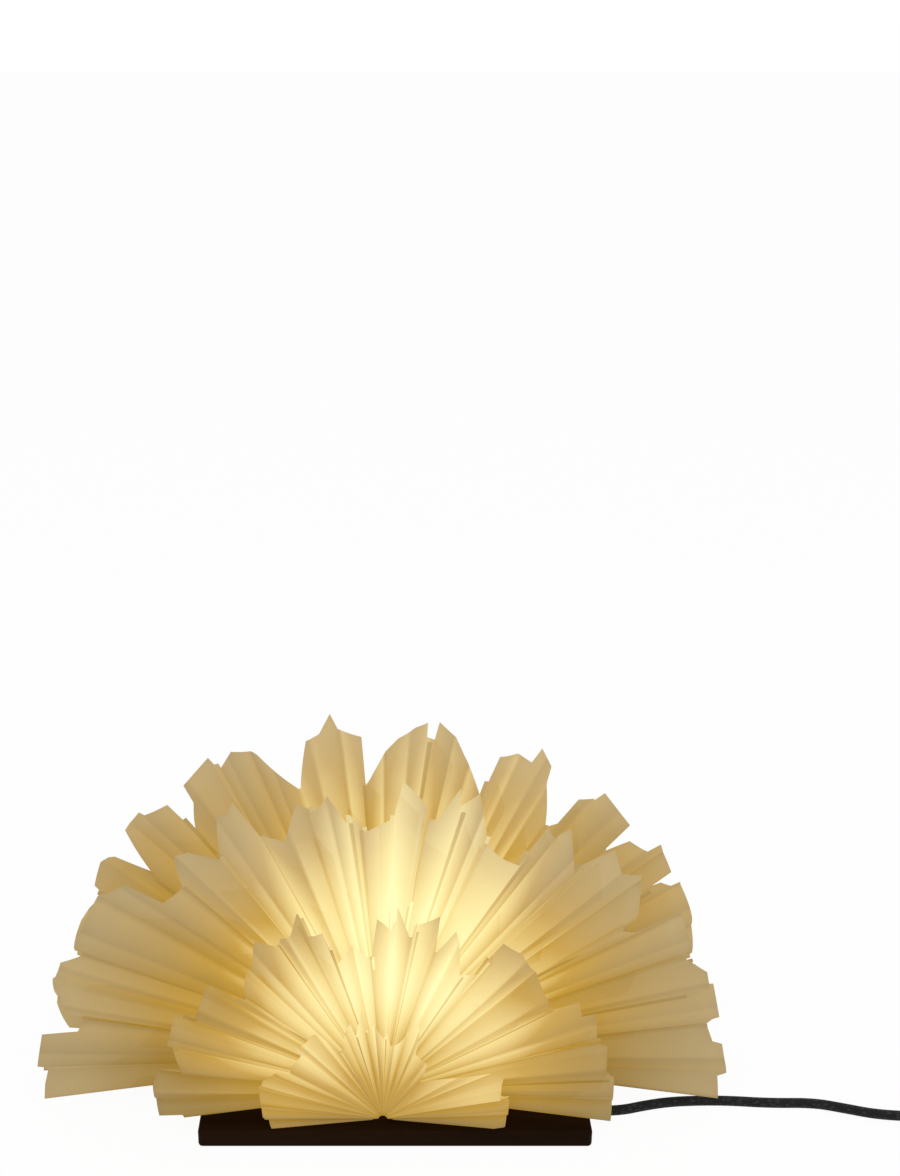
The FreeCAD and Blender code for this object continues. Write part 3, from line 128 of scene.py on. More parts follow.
LARGE_PETALS = (
    (-90.0, 1, ((-90, 231), (-87.5, 230), (-85.7, 228))),
    (-85.4, 2, ((-85, 235), (-77.6, 234), (-76.8, 211))),
    (-75.5, 4, ((-75.5, 209), (-75.1, 218), (-69.8, 230), (-69.4, 233), (-64.3, 236), (-61.3, 218))),
    (-61.0, 4, ((-60.7, 233), (-58, 237), (-53, 240), (-49, 240), (-45, 237), (-43.8, 208))),
    (-40.2, 2, ((-40.2, 203), (-36, 230), (-34, 226), (-31.2, 205))),
    (-31.0, 2, ((-26.6, 239), (-25.6, 235), (-23.9, 240), (-22.8, 206))),
    (-22.4, 2, ((-20, 205), (-18.5, 202), (-14.5, 226), (-13, 217))),
    (-12.8, 2, ((-9, 236), (-6.6, 206))),
    (-6.3, 1, ((-5.5, 205), (-4.1, 203))),
    (-3.9, 1, ((-3.6, 200), (0, 203.5), (1.5, 203.5))),
    (1.7, 1, ((2.8, 238), (6, 229), (6.9, 223))),
    (7.2, 1, ((7.2, 140), (7.6, 214), (9.2, 213), (11.7, 237), (13, 215))),
    (13.2, 2, ((15, 234), (19.4, 200))),
    (19.6, 1, ((22.2, 197), (26.2, 199))),
    (26.4, 3, ((26.8, 232), (29.8, 222), (30.6, 235), (34, 219), (36.8, 207))),
    (37.1, 3, ((38.6, 238), (42, 230), (45, 236), (47.5, 227), (50.6, 215))),
    (51.0, 3, ((51.1, 202), (53.5, 208), (54.7, 238), (58, 236), (61, 231), (61.8, 224))),
    (62.2, 2, ((63, 231), (64.2, 237), (68, 234))),
    (69.0, 2, ((69, 216), (69.5, 234.5), (75, 233), (75.4, 228), (77.2, 223.5))),
    (77.4, 3, ((79.2, 226), (79.6, 232), (86.3, 234), (86.7, 228), (90, 229))),
)
INNER_PETALS = (
    (-90.0, 3, ((-90, 226), (-86, 236), (-80, 238), (-75.5, 222))),
    (-75.2, 3, ((-75, 228), (-68, 229), (-61.6, 224))),
    (-61.4, 2, ((-61.1, 231), (-57.5, 236), (-55, 230), (-51.6, 197))),
    (-51.4, 3, ((-48.6, 237), (-44, 240), (-43.7, 236), (-40.3, 230))),
    (-40.0, 2, ((-39.8, 203), (-36, 221), (-35.6, 235), (-30.2, 241))),
    (-29.9, 4, ((-29.7, 229), (-26, 239), (-22.4, 229), (-17.1, 195))),
    (-16.9, 3, ((-13.4, 231), (-11, 234), (-8.9, 245), (-8, 233), (-4, 229), (-3.7, 195))),
    (-3.5, 3, ((2.2, 229), (5, 238), (6.9, 240), (7.2, 226))),
    (7.5, 3, ((8.7, 226), (9.0, 239), (12, 232), (14.5, 219), (19.6, 196))),
    (19.8, 4, ((20.1, 228), (23, 232), (25.6, 232), (26, 244), (29, 235), (30, 224), (34, 198))),
    (34.2, 3, ((35.6, 204), (36, 226), (39, 231), (39.4, 239), (46.5, 234), (46.9, 211))),
    (47.7, 3, ((47.8, 208), (49, 226), (52.3, 231), (52.8, 241), (58, 236), (58.4, 211))),
    (58.8, 4, ((59.4, 226), (61.6, 231), (62, 238), (71, 234), (75, 228))),
    (75.2, 3, ((75.6, 221), (79, 235), (86, 236), (90, 227))),
)

# Each fan: node, petals, root in front of the lamp's middle in mm, lean and
# pleat in degrees, reach of the flat foot leaf in mm, whether it is turned to
# the back, and its painted glow: the level far from the bulb and what the bulb adds, of
# 255, the reach in mm where it is brightest, how far beyond that it halves, and
# the reach where the deep gold of the painted glow turns pale.
FANS = (
    ("front_small_fan", SMALL_PETALS, 116.0, 5.0, 2.6, 68.0, False, (158.0, 72.0, 88.0, 52.0, 112.0)),
    ("front_middle_fan", MIDDLE_PETALS, 90.0, 9.0, 1.7, 112.0, False, (158.0, 86.0, 100.0, 68.0, 136.0)),
    ("front_large_fan", LARGE_PETALS, 51.0, 10.0, 1.2, 112.0, False, (164.0, 86.0, 122.0, 88.0, 164.0)),
    ("front_inner_fan", INNER_PETALS, 37.4, -6.0, 1.1, 112.0, False, (170.0, 44.0, 125.0, 90.0, 184.0)),
    ("rear_middle_fan", MIDDLE_PETALS, 56.0, 2.0, 1.7, 112.0, True, (158.0, 86.0, 100.0, 68.0, 136.0)),
    ("rear_small_fan", SMALL_PETALS, 92.0, 5.0, 2.6, 68.0, True, (158.0, 72.0, 88.0, 52.0, 112.0)),
)
# Painted glow and painted shade of the paper: where the glow is centred and how wide it is, where it turns
# to the hot glow colour, and the painted shade of the feet and of the panels, in levels of 255.
GLOW_TURN = 6.0
GLOW_WIDTH = 100.0
HOT_GLOW_FROM = 0.74
HOT_GLOW_TO = 1.0
FOOT_SHADE = 56.0
PANEL_SHADE = 12.0
RIM_SWELL = 0.008
UPWARD_TURN = 0.5
TOP_TURN = 0.4
UPWARD_REACH = 240.0
# Painted shade of the flat foot leaves, in levels of 255.
LEAF_SHADE = 40.0
PANEL_COLUMNS = 6
REACH_ROWS = 18
PETAL_LAP = 0.7
PETAL_STAGGER = 0.35
PANEL_BOW = 0.45
PETAL_CURL = 1.1

# Lead: the control points of its middle line in millimetres, out from the
# board's side, sideways from the hole it leaves by, and up.
CORD_DIAMETER = 6.5 * MM
RELIEF_REACH = 10.0
LEAD_ROUTE = (
    (22.0, 0.0, 6.25),
    (40.0, 7.1, 4.8),
    (57.0, 12.3, 3.5),
    (76.0, 14.0, 3.25),
    (98.0, 14.0, 3.25),
    (126.0, 11.4, 3.25),
    (155.0, 11.8, 3.25),
    (175.0, 6.0, 3.25),
    (192.0, 0.6, 3.25),
    (209.5, -5.7, 6.5),
)
RELIEF_MIDDLE = (np.array(RELIEF_LOW) + np.array(RELIEF_HIGH)) / 2 / MM
EXIT = (BOARD_HIGH[0] / MM, RELIEF_MIDDLE[1], RELIEF_MIDDLE[2])
SWITCH_SIDE = 5.7
SWITCH_Y = EXIT[1] - SWITCH_SIDE
SWITCH_AXIS_Z = 6.5
SWITCH_ENDS = (352.0, 414.0)
COIL_X = 456.0
COIL_RADIUS = 47.0
COIL_PITCH = 7.1
COIL_LIFT = 1.0
COIL_SPIRAL_TURNS = 2.875
COIL_CLIMB_TURNS = 0.5
COIL_TURNS = 2 * COIL_SPIRAL_TURNS + COIL_CLIMB_TURNS
COIL_POINTS_PER_TURN = 20
TAIL_RUN = 13.0
PLUG_AXIS_Z = 7.0
RING_SPACING = 1.5 * MM
RING_SIDES = 20

# Camera, fitted to the photograph: focal length and middle in pixels of a
# frame 900 by 1176, pitch in degrees, place in millimetres.
PHOTO_SIZE = (900, 1176)
FOCAL_PIXELS = 1500.0
MIDDLE_PIXEL_X = 382.8
CAMERA_PITCH = 19.7
CAMERA_PLACE = (-8.0, -926.6, 673.9)


# Shader maths

class Signal:
    """A shader socket that takes part in Python expressions on numbers."""

    def __init__(self, shader, socket):
        self.shader = shader
        self.socket = socket

    def _with(self, operation, other, flipped=False):
        pair = (other, self) if flipped else (self, other)
        return self.shader.maths(operation, *pair)

    def __add__(self, other):
        return self._with("ADD", other)

    def __radd__(self, other):
        return self._with("ADD", other)

    def __sub__(self, other):
        return self._with("SUBTRACT", other)

    def __rsub__(self, other):
        return self._with("SUBTRACT", other, True)

    def __mul__(self, other):
        return self._with("MULTIPLY", other)

    def __rmul__(self, other):
        return self._with("MULTIPLY", other)

    def __truediv__(self, other):
        return self._with("DIVIDE", other)

    def __rtruediv__(self, other):
        return self._with("DIVIDE", other, True)

    def __pow__(self, other):
        return self._with("POWER", other)


class Shader:
    """One material's node tree, with a method for any node."""

    def __init__(self, name):
        self.material = bpy.data.materials.new(name)
        self.material.use_nodes = True
        self.tree = self.material.node_tree
        self.surface = next(n for n in self.tree.nodes if n.type == "BSDF_PRINCIPLED")

    def node(self, kind, settings=None, output=0, **sockets):
        """Adds a node: its settings first, then the values or links of its sockets."""
        made = self.tree.nodes.new(kind)
        for name, value in (settings or {}).items():
            if name == "stops":
                self._ramp(made, value)
            else:
                setattr(made, name, value)
        for name, value in sockets.items():
            self._fill(made.inputs[int(name[1:]) if name[1:].isdigit() else name], value)
        return Signal(self, made.outputs[output])

    def _ramp(self, made, stops):
        elements = made.color_ramp.elements
        while len(elements) < len(stops):
            elements.new(1.0)
        for element, (position, colour) in zip(elements, stops):
            element.position = position
            element.color = (*colour, 1.0)

    def _fill(self, socket, value):
        if isinstance(value, Signal):
            self.tree.links.new(value.socket, socket)
        else:
            socket.default_value = value

    def maths(self, operation, *values, clamp=False):
        made = self.node("ShaderNodeMath", {"operation": operation, "use_clamp": clamp})
        for socket, value in zip(made.socket.node.inputs, values):
            self._fill(socket, value)
        return made

    def vector_maths(self, operation, *values, output=0):
        made = self.node("ShaderNodeVectorMath", {"operation": operation}, output)
        for socket, value in zip(made.socket.node.inputs, values):
            self._fill(socket, value)
        return made

    def position(self):
        return self.node("ShaderNodeTexCoord", output="Object")

    def along(self, vector):
        """The X, Y and Z of a vector."""
        return [self.node("ShaderNodeSeparateXYZ", output=i, Vector=vector) for i in range(3)]

    def scaled(self, vector, scale):
        return self.node("ShaderNodeMapping", Vector=vector, Scale=scale)

    def noise(self, vector, scale, detail=4.0, roughness=0.5):
        return self.node("ShaderNodeTexNoise", Vector=vector, Scale=scale, Detail=detail,
                         Roughness=roughness)

    def ramp(self, amount, *stops):
        return self.node("ShaderNodeValToRGB", {"stops": stops}, Fac=amount)

    def mixed(self, amount, first, second, how="MIX"):
        """A mix of two colours."""
        made = self.node("ShaderNodeMix", {"data_type": "RGBA", "blend_type": how}, 2)
        for index, value in ((0, amount), (6, first), (7, second)):
            self._fill(made.socket.node.inputs[index], value)
        return made

    def spread(self, value, low, high, to_low, to_high):
        return self.node("ShaderNodeMapRange", Value=value, _1=low, _2=high, _3=to_low, _4=to_high)

    def bump(self, height, depth, strength=1.0):
        return self.node("ShaderNodeBump", Height=height, Distance=depth, Strength=strength)

    def set(self, **sockets):
        """Sets or links the surface shader's own sockets. Underscores stand for spaces."""
        for name, value in sockets.items():
            socket = self.surface.inputs[name.replace("_", " ")]
            if isinstance(value, tuple) and len(value) == 3:
                value = (*value, 1.0)
            self._fill(socket, value)
        return self.material


# Meshes

def mesh_piece(name, places, quads, uv=None, sharp=None):
    """A mesh object from an array of places and one of quads, smooth but for marked edges.

    uv is one pair for each place. sharp is an array of pairs of places whose edges stay crisp.
    """
    mesh = bpy.data.meshes.new(name)
    mesh.from_pydata(places.reshape(-1, 3), [], quads)
    mesh.polygons.foreach_set("use_smooth", np.ones(len(mesh.polygons), bool))
    if uv is not None:
        corners = np.empty(len(mesh.loops), np.int32)
        mesh.loops.foreach_get("vertex_index", corners)
        layer = mesh.uv_layers.new(name="UVMap")
        layer.uv.foreach_set("vector", uv.reshape(-1, 2)[corners].astype(np.float32).ravel())
    if sharp is not None and len(sharp):
        ends = np.empty(len(mesh.edges) * 2, np.int32)
        mesh.edges.foreach_get("vertices", ends)
        ends = np.sort(ends.reshape(-1, 2), axis=1).astype(np.int64)
        sharp = np.sort(np.asarray(sharp), axis=1).astype(np.int64)
        count = len(mesh.vertices)
        marked = np.isin(ends[:, 0] * count + ends[:, 1], sharp[:, 0] * count + sharp[:, 1])
        layer = mesh.attributes.new("sharp_edge", "BOOLEAN", "EDGE")
        layer.data.foreach_set("value", marked)
    mesh.update()
    made = bpy.data.objects.new(name, mesh)
    bpy.context.scene.collection.objects.link(made)
    return made


def grid_quads(rows, columns, closed=False, first=0):
    """Quads of a grid of rows by columns of places, row after row.

    A closed grid's last column joins its first.
    """
    row = np.arange(rows - 1)[:, None]
    column = np.arange(columns if closed else columns - 1)[None, :]
    beside = (column + 1) % columns
    quads = np.stack([row * columns + column, row * columns + beside,
                      (row + 1) * columns + beside, (row + 1) * columns + column], axis=-1)
    return quads.reshape(-1, 4) + first


def lathe(name, profile, middle, sides=96, closed=True):
    """A profile of radius and height, in metres, carried round an upright axis.

    A closed profile joins its last point to its first. A radius of zero is a pole.
    """
    profile = np.asarray(profile, float)
    turn = np.linspace(0, 2 * math.pi, sides, endpoint=False)
    radius, height = profile[:, :1], profile[:, 1:]
    places = np.stack([middle[0] + radius * np.cos(turn), middle[1] + radius * np.sin(turn),
                       np.broadcast_to(height, (len(profile), sides))], axis=-1)
    quads = grid_quads(len(profile), sides, True)
    if closed:
        last = (len(profile) - 1) * sides
        column = np.arange(sides)
        beside = (column + 1) % sides
        quads = np.vstack([quads, np.stack([last + column, last + beside, beside, column], axis=-1)])
    made = mesh_piece(name, places, quads)
    merge_doubles(made)
    return made


def merge_doubles(piece, distance=1e-6):
    """Joins places that coincide, such as poles, and turns the faces outwards."""
    import bmesh
    work = bmesh.new()
    work.from_mesh(piece.data)
    bmesh.ops.remove_doubles(work, verts=work.verts, dist=distance)
    bmesh.ops.recalc_face_normals(work, faces=work.faces)
    work.to_mesh(piece.data)
    work.free()


def finish_piece(piece, slot, material, *nodes, body=LAMP):
    piece.data.materials.clear()
    piece.data.materials.append(material)
    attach(piece, body)
    if nodes:
        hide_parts(*nodes)


def dress(material, *nodes):
    """Gives carried-over CAD nodes a finish."""
    for node in nodes:
        piece = next(o for o in bpy.data.objects if o.get("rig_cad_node") == node)
        piece.data.materials.clear()
        piece.data.materials.append(material)


# Paper fans

def lit(fan, angles, far, wave, phase, index):
    """How light the paper looks, from 0 to 255, and how deep the gold of its glow is, from 0 to 1: painted
    glow and painted shade that stand in for the bulb's light through the paper.

    The gain is scaled by a bell over how far the place lies beside the bulb, in mm, and by
    1 / (1 + ((reach - brightest) / halving)^2). The feet are darker, painted shade. Each panel runs a
    little from light to dark between its folds, more so near the bulb, painted shade of the pleats, and the
    pleat's wave takes off a little more. No two petals are quite alike. The
    gold of the glow is painted too: deep below the reach where it turns pale, a little further out in a
    band at both sides and at the feet, and wears off over the next few centimetres.
    """
    level, gain, brightest, halving, pale = fan[7]
    side = np.abs(angles)
    reach = far / MM
    bell = np.exp(-(reach * np.sin(np.radians(angles - GLOW_TURN)) / GLOW_WIDTH) ** 2)
    fall = 1 / (1 + ((reach - brightest) / halving) ** 2)
    foot = np.clip((side - 68) / 22, 0, 1) ** 1.5 * np.clip(1.25 - reach / 190, 0, 1)
    own = 3.0 * math.sin(2.4 * index + brightest)
    saw = PANEL_SHADE * (phase % 1 - 0.5) * (1 if index % 2 else -1) * (1 + 1.6 * bell * fall)
    light = level + gain * bell * fall - FOOT_SHADE * foot + own + saw - 3.0 * wave
    flank = np.exp(-((side - 58) / 20) ** 2)
    glow_gold = np.clip((pale + 45 + 28 * flank - reach) / 75, 0, 1) + 0.25 * foot
    return light, np.clip(glow_gold, 0, 1)


def petal_columns(start, stop, panels, rim, lap_before, lap_after):
    """Angles of a petal's columns: each panel's even share and every point of the cut edge."""
    even = np.linspace(start, stop, panels * PANEL_COLUMNS + 1)
    folds = even[::PANEL_COLUMNS]
    cuts = np.array([a for a, r in rim if start < a < stop], float)
    ends = np.array([start - lap_before, stop + lap_after])
    return np.unique(np.round(np.concatenate([even, cuts, ends]), 3)), folds


def petal_places(fan, petal, stop, whole_rim, parity, index, laps):
    """Places, UVs and light of one petal.

    A place is the root plus its ray times its reach. The ray's lean is the fan's, plus the pleat,
    a triangle wave with a crest or a trough at each fold, bowed by a sine across each panel, plus a
    stagger that puts every second petal behind, plus a curl that grows with the square of the reach.
    Paper springs a little beyond the cut edge, most at the top, by the cosine of the angle, and the
    long petals turn a little towards the top, by the sine of twice the angle, and the topmost a
    little to the right, by the square of the cosine.
    """
    node, petals, root, lean, pleat, foot, rear, light = fan
    start, panels, rim = petal
    angles, folds = petal_columns(start, stop, panels, rim, *laps)
    phase = np.clip((angles - start) / (stop - start), 0, 1) * panels
    wave = 1 - 2 * np.abs((phase + parity) % 2 - 1)
    bow = np.sin(math.pi * (phase % 1)) * PANEL_BOW
    cut_angles, cut_reaches = whole_rim
    reach = np.interp(np.clip(angles, start, stop - 0.02), cut_angles, cut_reaches) * MM
    reach = reach * (1 + RIM_SWELL * np.cos(np.radians(angles)))
    edge = 90 - np.abs(angles)
    inner = np.interp(edge, (0, 5, 10), (ROOT_RADIUS_END, ROOT_RADIUS_FOLD, ROOT_RADIUS))
    share = np.linspace(0, 1, REACH_ROWS)[:, None]
    far = inner + (reach - inner) * share
    loose = np.clip(edge / 12, 0, 1)
    stagger = PETAL_STAGGER * (1 if index % 2 else -1) * loose
    curl = PETAL_CURL * math.sin(1.9 * index + len(petals)) * loose * share ** 2
    tilt = np.radians(lean + pleat * (wave + bow) + stagger + curl)
    turn = np.radians(angles)
    spring = TOP_TURN * np.cos(turn) ** 2 - UPWARD_TURN * np.sin(2 * turn)
    turn = turn + np.radians(spring) * (reach / MM / UPWARD_REACH) ** 2
    ray = np.stack([np.sin(turn) * np.cos(tilt), -np.sin(tilt), np.cos(turn) * np.cos(tilt)], axis=-1)
    apex = np.array([FAN_AXIS_X, -root * MM, BOARD_TOP + PAPER / 2])
    places = apex + ray * far[..., None]
    uv = np.stack([np.broadcast_to(phase + 10 * index, far.shape), far], axis=-1)
    crisp = np.nonzero(np.isin(np.round(angles, 3), np.round(folds[1:-1], 3)))[0]
    return places, uv, crisp, lit(fan, angles, far, wave, phase, index)


def foot_places(fan, side, parity):
    """A flat leaf glued on the board, swung back from the fan's end fold."""
    node, petals, root, lean, pleat, foot, rear, light = fan
    reach = (petals[0][2][0][1] if side < 0 else petals[-1][2][-1][1]) * MM
    swing = 1 if parity % 2 == 0 else -1
    leans = np.linspace(lean + pleat * swing, lean - FOOT_SPREAD, 8)
    share = np.linspace(0, 1, REACH_ROWS)[:, None]
    inner = ROOT_RADIUS_END
    far = inner + (np.linspace(reach, foot * MM, 8) - inner) * share
    tilt = np.broadcast_to(np.radians(leans), far.shape)
    ray = np.stack([side * np.cos(tilt), -np.sin(tilt), np.zeros_like(tilt)], axis=-1)
    apex = np.array([FAN_AXIS_X, -root * MM, BOARD_TOP + PAPER / 2])
    uv = np.stack([np.broadcast_to(np.linspace(0, 1, 8), far.shape), far], axis=-1)
    light_level, glow_gold = lit(fan, np.full(8, 90.0 * side), far, np.zeros(8), np.full(8, 0.5), 0)
    # Painted shade: the foot leaves are darker than the fan's painted glow.
    light_level = light_level - LEAF_SHADE
    return apex + ray * far[..., None], uv, np.array([], int), (light_level, glow_gold)


def paper_fan(fan, material):
    """All petals of one fan as sheets of paper, overlapping a little where they meet."""
    node, petals, root, lean, pleat, foot, rear, light = fan
    starts = [p[0] for p in petals] + [90.0]
    whole_rim = np.array([point for petal in petals for point in petal[2]], float).T
    sheets = [foot_places(fan, -1, 0)]
    parity = 0
    for index, petal in enumerate(petals):
        laps = (PETAL_LAP if index else 0.0, PETAL_LAP if index < len(petals) - 1 else 0.0)
        sheets.append(petal_places(fan, petal, starts[index + 1], whole_rim, parity + 1, index, laps))
        parity += petal[1]
    sheets.append(foot_places(fan, 1, parity))
    places, uvs, shown, quads, sharp, count = [], [], [], [], [], 0
    for grid, uv, crisp, (light, glow_gold) in sheets:
        rows, columns = grid.shape[:2]
        quads.append(grid_quads(rows, columns, first=count))
        row = np.arange(rows - 1)[:, None] * columns
        sharp.append(np.stack([row + crisp, row + columns + crisp], axis=-1).reshape(-1, 2) + count)
        places.append(grid.reshape(-1, 3))
        uvs.append(uv.reshape(-1, 2))
        shown.append(np.stack([light / 255, glow_gold, np.zeros_like(glow_gold)], axis=-1).reshape(-1, 3))
        count += rows * columns
    places = np.vstack(places)
    if rear:
        places = places * (-1, -1, 1) + (2 * FAN_AXIS_X, 0, 0)
    made = mesh_piece(node + "_paper", places, np.vstack(quads), np.vstack(uvs), np.vstack(sharp))
    layer = made.data.attributes.new("lit", "FLOAT_VECTOR", "POINT")
    layer.data.foreach_set("vector", np.vstack(shown).astype(np.float32).ravel())
    skin = made.modifiers.new("thickness", "SOLIDIFY")
    skin.thickness = PAPER
    skin.offset = 0.0
    finish_piece(made, "fan_paper", material, node)
    return made


def paper_material(name, colours):
    """Thin cream paper with the bulb's light from behind painted into its emission.

    The painted light that each place passes on comes with the mesh, from 0 to 1 as a screen shows it, and
    is raised to 2.2 for its strength. It tints the paper cream, or gold where the light is deep, and
    turns it to the hot glow colour near the bulb. The studio's own share is taken off. The rest is here:
    painted shade in soft steps as if another sheet lay behind, a thin line of painted shade at each fold,
    also in the base colour, clouds and fibres in the sheet.
    """
    make = Shader(name)
    place = make.position()
    light, glow_gold, unused = make.along(make.node(
        "ShaderNodeAttribute", {"attribute_name": "lit"}, "Vector"))
    across, reach, unused = make.along(make.node("ShaderNodeUVMap"))
    panel = make.maths("FRACT", across)
    # Painted shade: a thin darker, deeper gold line along each fold.
    fold_line = make.maths("MINIMUM", panel, 1 - panel) * reach
    fold_shade = make.maths("SUBTRACT", 1.0, fold_line * 900.0, clamp=True)
    # Painted shade: soft darker, deeper gold steps, as if another sheet of random length lay behind.
    behind = across * 0.77 + 0.31
    sheet = make.node("ShaderNodeTexWhiteNoise", {"noise_dimensions": "1D"}, "Value",
                      W=make.maths("FLOOR", behind))
    longest = 0.10 + 0.14 * sheet
    slanted = reach + 0.02 * make.maths("FRACT", behind)
    overlap_shade = make.spread(slanted, longest - 0.0004, longest + 0.0004, 1.0, 0.0)
    overlap_shade = overlap_shade * make.maths("LESS_THAN", make.maths("FRACT", behind), 0.4 + 0.5 * sheet)
    cloud = make.noise(place, 30.0, 3.0)
    fibre = make.noise(place, 700.0, 4.0, 0.7)
    light = light + (cloud - 0.5) * 0.035 + (fibre - 0.5) * 0.02 - overlap_shade * 0.014 - fold_shade * 0.016
    glow_gold = make.maths("ADD", glow_gold + overlap_shade * 0.12, fold_shade * 0.15, clamp=True)
    tint = make.mixed(glow_gold, (*colours.cream_glow, 1.0), (*colours.gold_glow, 1.0))
    strength = make.maths("MAXIMUM", light, 0.0) ** 2.2
    shown = make.vector_maths("MULTIPLY", tint, make.node(
        "ShaderNodeCombineXYZ", X=strength, Y=strength, Z=strength))
    # Painted glow: the paper turns to the hot glow colour near the bulb.
    hot_glow_share = make.spread(light, HOT_GLOW_FROM, HOT_GLOW_TO, 0.0, 1.0)
    shown = make.mixed(hot_glow_share, shown, (*colours.hot_glow, 1.0))
    paper = tuple(colours.paper)
    studio = tuple(c * colours.studio_share for c in paper)
    # The painted glow is given off as emission, less the studio light's share.
    glow = make.vector_maths("MAXIMUM", make.vector_maths("SUBTRACT", shown, studio), (0.0, 0.0, 0.0))
    base = make.mixed(make.spread(fibre, 0.35, 0.7, 0.0, 0.5), paper + (1.0,),
                      tuple(c * 0.92 for c in paper) + (1.0,))
    # Painted shade: the base colour is darker along each fold.
    base = make.mixed(fold_shade * 0.2, base, tuple(c * 0.8 for c in paper) + (1.0,))
    return make.set(Base_Color=base, Roughness=0.86, Specular_IOR_Level=0.2, Emission_Color=glow,
                    Emission_Strength=1.0, Normal=make.bump(fibre, 0.00006, 0.5))


# Board and small finishes

def wood_material(colours):
    """Dark stained open-grain wood: long pores and bands along X."""
    make = Shader("dark_wood")
    place = make.position()
    warped = make.vector_maths("ADD", make.scaled(place, (3.0, 38.0, 38.0)), make.node(
        "ShaderNodeTexNoise", output="Color", Vector=place, Scale=9.0, Detail=2.0))
    bands = make.noise(warped, 2.2, 6.0, 0.6)
    pores = make.noise(make.scaled(place, (60.0, 1500.0, 1500.0)), 1.0, 3.0, 0.7)
    pore = make.spread(pores, 0.60, 0.70, 0.0, 1.0)
    dark = tuple(c * 0.45 for c in colours.wood)
    light = tuple(c * 1.5 for c in colours.wood)
    colour = make.ramp(bands, (0.25, dark), (0.5, tuple(colours.wood)), (0.8, light))
    colour = make.mixed(pore * 0.7, colour, tuple(c * 0.2 for c in colours.wood) + (1.0,))
    height = bands * 0.35 - pore * 0.65
    rough = make.spread(bands, 0.3, 0.7, 0.52, 0.66)
    return make.set(Base_Color=colour, Roughness=rough, Specular_IOR_Level=0.04,
                    Specular_Tint=(1.0, 0.6, 0.4), Normal=make.bump(height, 0.00015, 0.6))


def felt_material():
    make = Shader("felt")
    place = make.position()
    fluff = make.noise(place, 2600.0, 4.0, 0.7)
    patch = make.noise(place, 60.0, 2.0)
    colour = make.mixed(fluff, (0.02, 0.02, 0.022, 1.0), (0.075, 0.075, 0.08, 1.0))
    return make.set(Base_Color=colour, Roughness=0.95, Sheen_Weight=0.3,
                    Normal=make.bump(fluff + patch * 0.3, 0.0004, 0.8))


def moulded_material(name, colour, rough=0.42, grain=0.00004):
    """Moulded plastic or rubber with a fine spark-eroded grain and faint wear."""
    make = Shader(name)
    place = make.position()
    grains = make.noise(place, 1800.0, 3.0, 0.6)
    wear = make.noise(place, 45.0, 4.0, 0.6)
    shade = make.mixed(make.spread(wear, 0.4, 0.7, 0.0, 0.35), (*colour, 1.0),
                       tuple(min(1.0, c * 1.5 + 0.004) for c in colour) + (1.0,))
    return make.set(Base_Color=shade, Roughness=make.spread(wear, 0.3, 0.7, rough - 0.06, rough + 0.08),
                    Specular_IOR_Level=0.28, Normal=make.bump(grains, grain, 0.7))


def metal_material(name, colour, rough=0.28, brushed=(40.0, 40.0, 900.0)):
    """Plated metal with fine turning lines and light stains."""
    make = Shader(name)
    place = make.position()
    lines = make.noise(make.scaled(place, brushed), 3.0, 3.0, 0.6)
    stain = make.noise(place, 120.0, 4.0, 0.6)
    shade = make.mixed(make.spread(stain, 0.45, 0.75, 0.0, 0.5), (*colour, 1.0),
                       tuple(c * 0.72 for c in colour) + (1.0,))
    return make.set(Base_Color=shade, Metallic=1.0,
                    Roughness=make.spread(lines, 0.3, 0.7, rough - 0.08, rough + 0.1),
                    Normal=make.bump(lines, 0.00003, 0.4))


def ceramic_material():
    make = Shader("unglazed_ceramic")
    place = make.position()
    grain = make.noise(place, 900.0, 4.0, 0.6)
    colour = make.mixed(grain, (0.78, 0.76, 0.70, 1.0), (0.88, 0.86, 0.82, 1.0))
    return make.set(Base_Color=colour, Roughness=0.6, Normal=make.bump(grain, 0.00005, 0.5))


def opal_material(colours):
    """Opal glass lit from inside, paler to the middle and warmer near the collar."""
    make = Shader("opal_glass")
    place = make.position()
    unused, unused_too, height = make.along(place)
    rise = make.spread(height, GLOBE_LOW[2], GLOBE_HIGH[2], 0.0, 1.0)
    cloud = make.noise(place, 70.0, 3.0)
    glow = make.ramp(rise + (cloud - 0.5) * 0.12, (0.0, (0.85, 0.55, 0.22)), (0.3, (1.0, 0.86, 0.55)),
                     (1.0, (1.0, 0.93, 0.74)))
    return make.set(Base_Color=(0.9, 0.88, 0.8), Roughness=0.3, Coat_Weight=0.4, Coat_Roughness=0.1,
                    Emission_Color=glow, Emission_Strength=1.1)


def core_material():
    """Two insulated cores: brown on one side of the lamp's middle, blue on the other."""
    make = Shader("core_insulation")
    place = make.position()
    x, y, z = make.along(place)
    side = make.maths("GREATER_THAN", x + y * 0.9, 0.0)
    speck = make.noise(place, 500.0, 2.0)
    colour = make.mixed(side, (0.14, 0.055, 0.025, 1.0), (0.03, 0.09, 0.35, 1.0))
    colour = make.mixed(speck * 0.2, colour, (0.3, 0.3, 0.3, 1.0))
    return make.set(Base_Color=colour, Roughness=0.4, Normal=make.bump(speck, 0.00003, 0.4))


def strap_material():
    """Woven hook-and-loop strap."""
    make = Shader("woven_strap")
    place = make.position()
    weave = make.node("ShaderNodeTexWave", {"wave_type": "BANDS", "bands_direction": "DIAGONAL"},
                      Vector=place, Scale=420.0, Distortion=1.5, Detail=2.0)
    colour = make.mixed(weave, (0.006, 0.006, 0.0065, 1.0), (0.03, 0.03, 0.032, 1.0))
    return make.set(Base_Color=colour, Roughness=0.9, Specular_IOR_Level=0.2, Sheen_Weight=0.08,
                    Normal=make.bump(weave, 0.0003, 0.8))


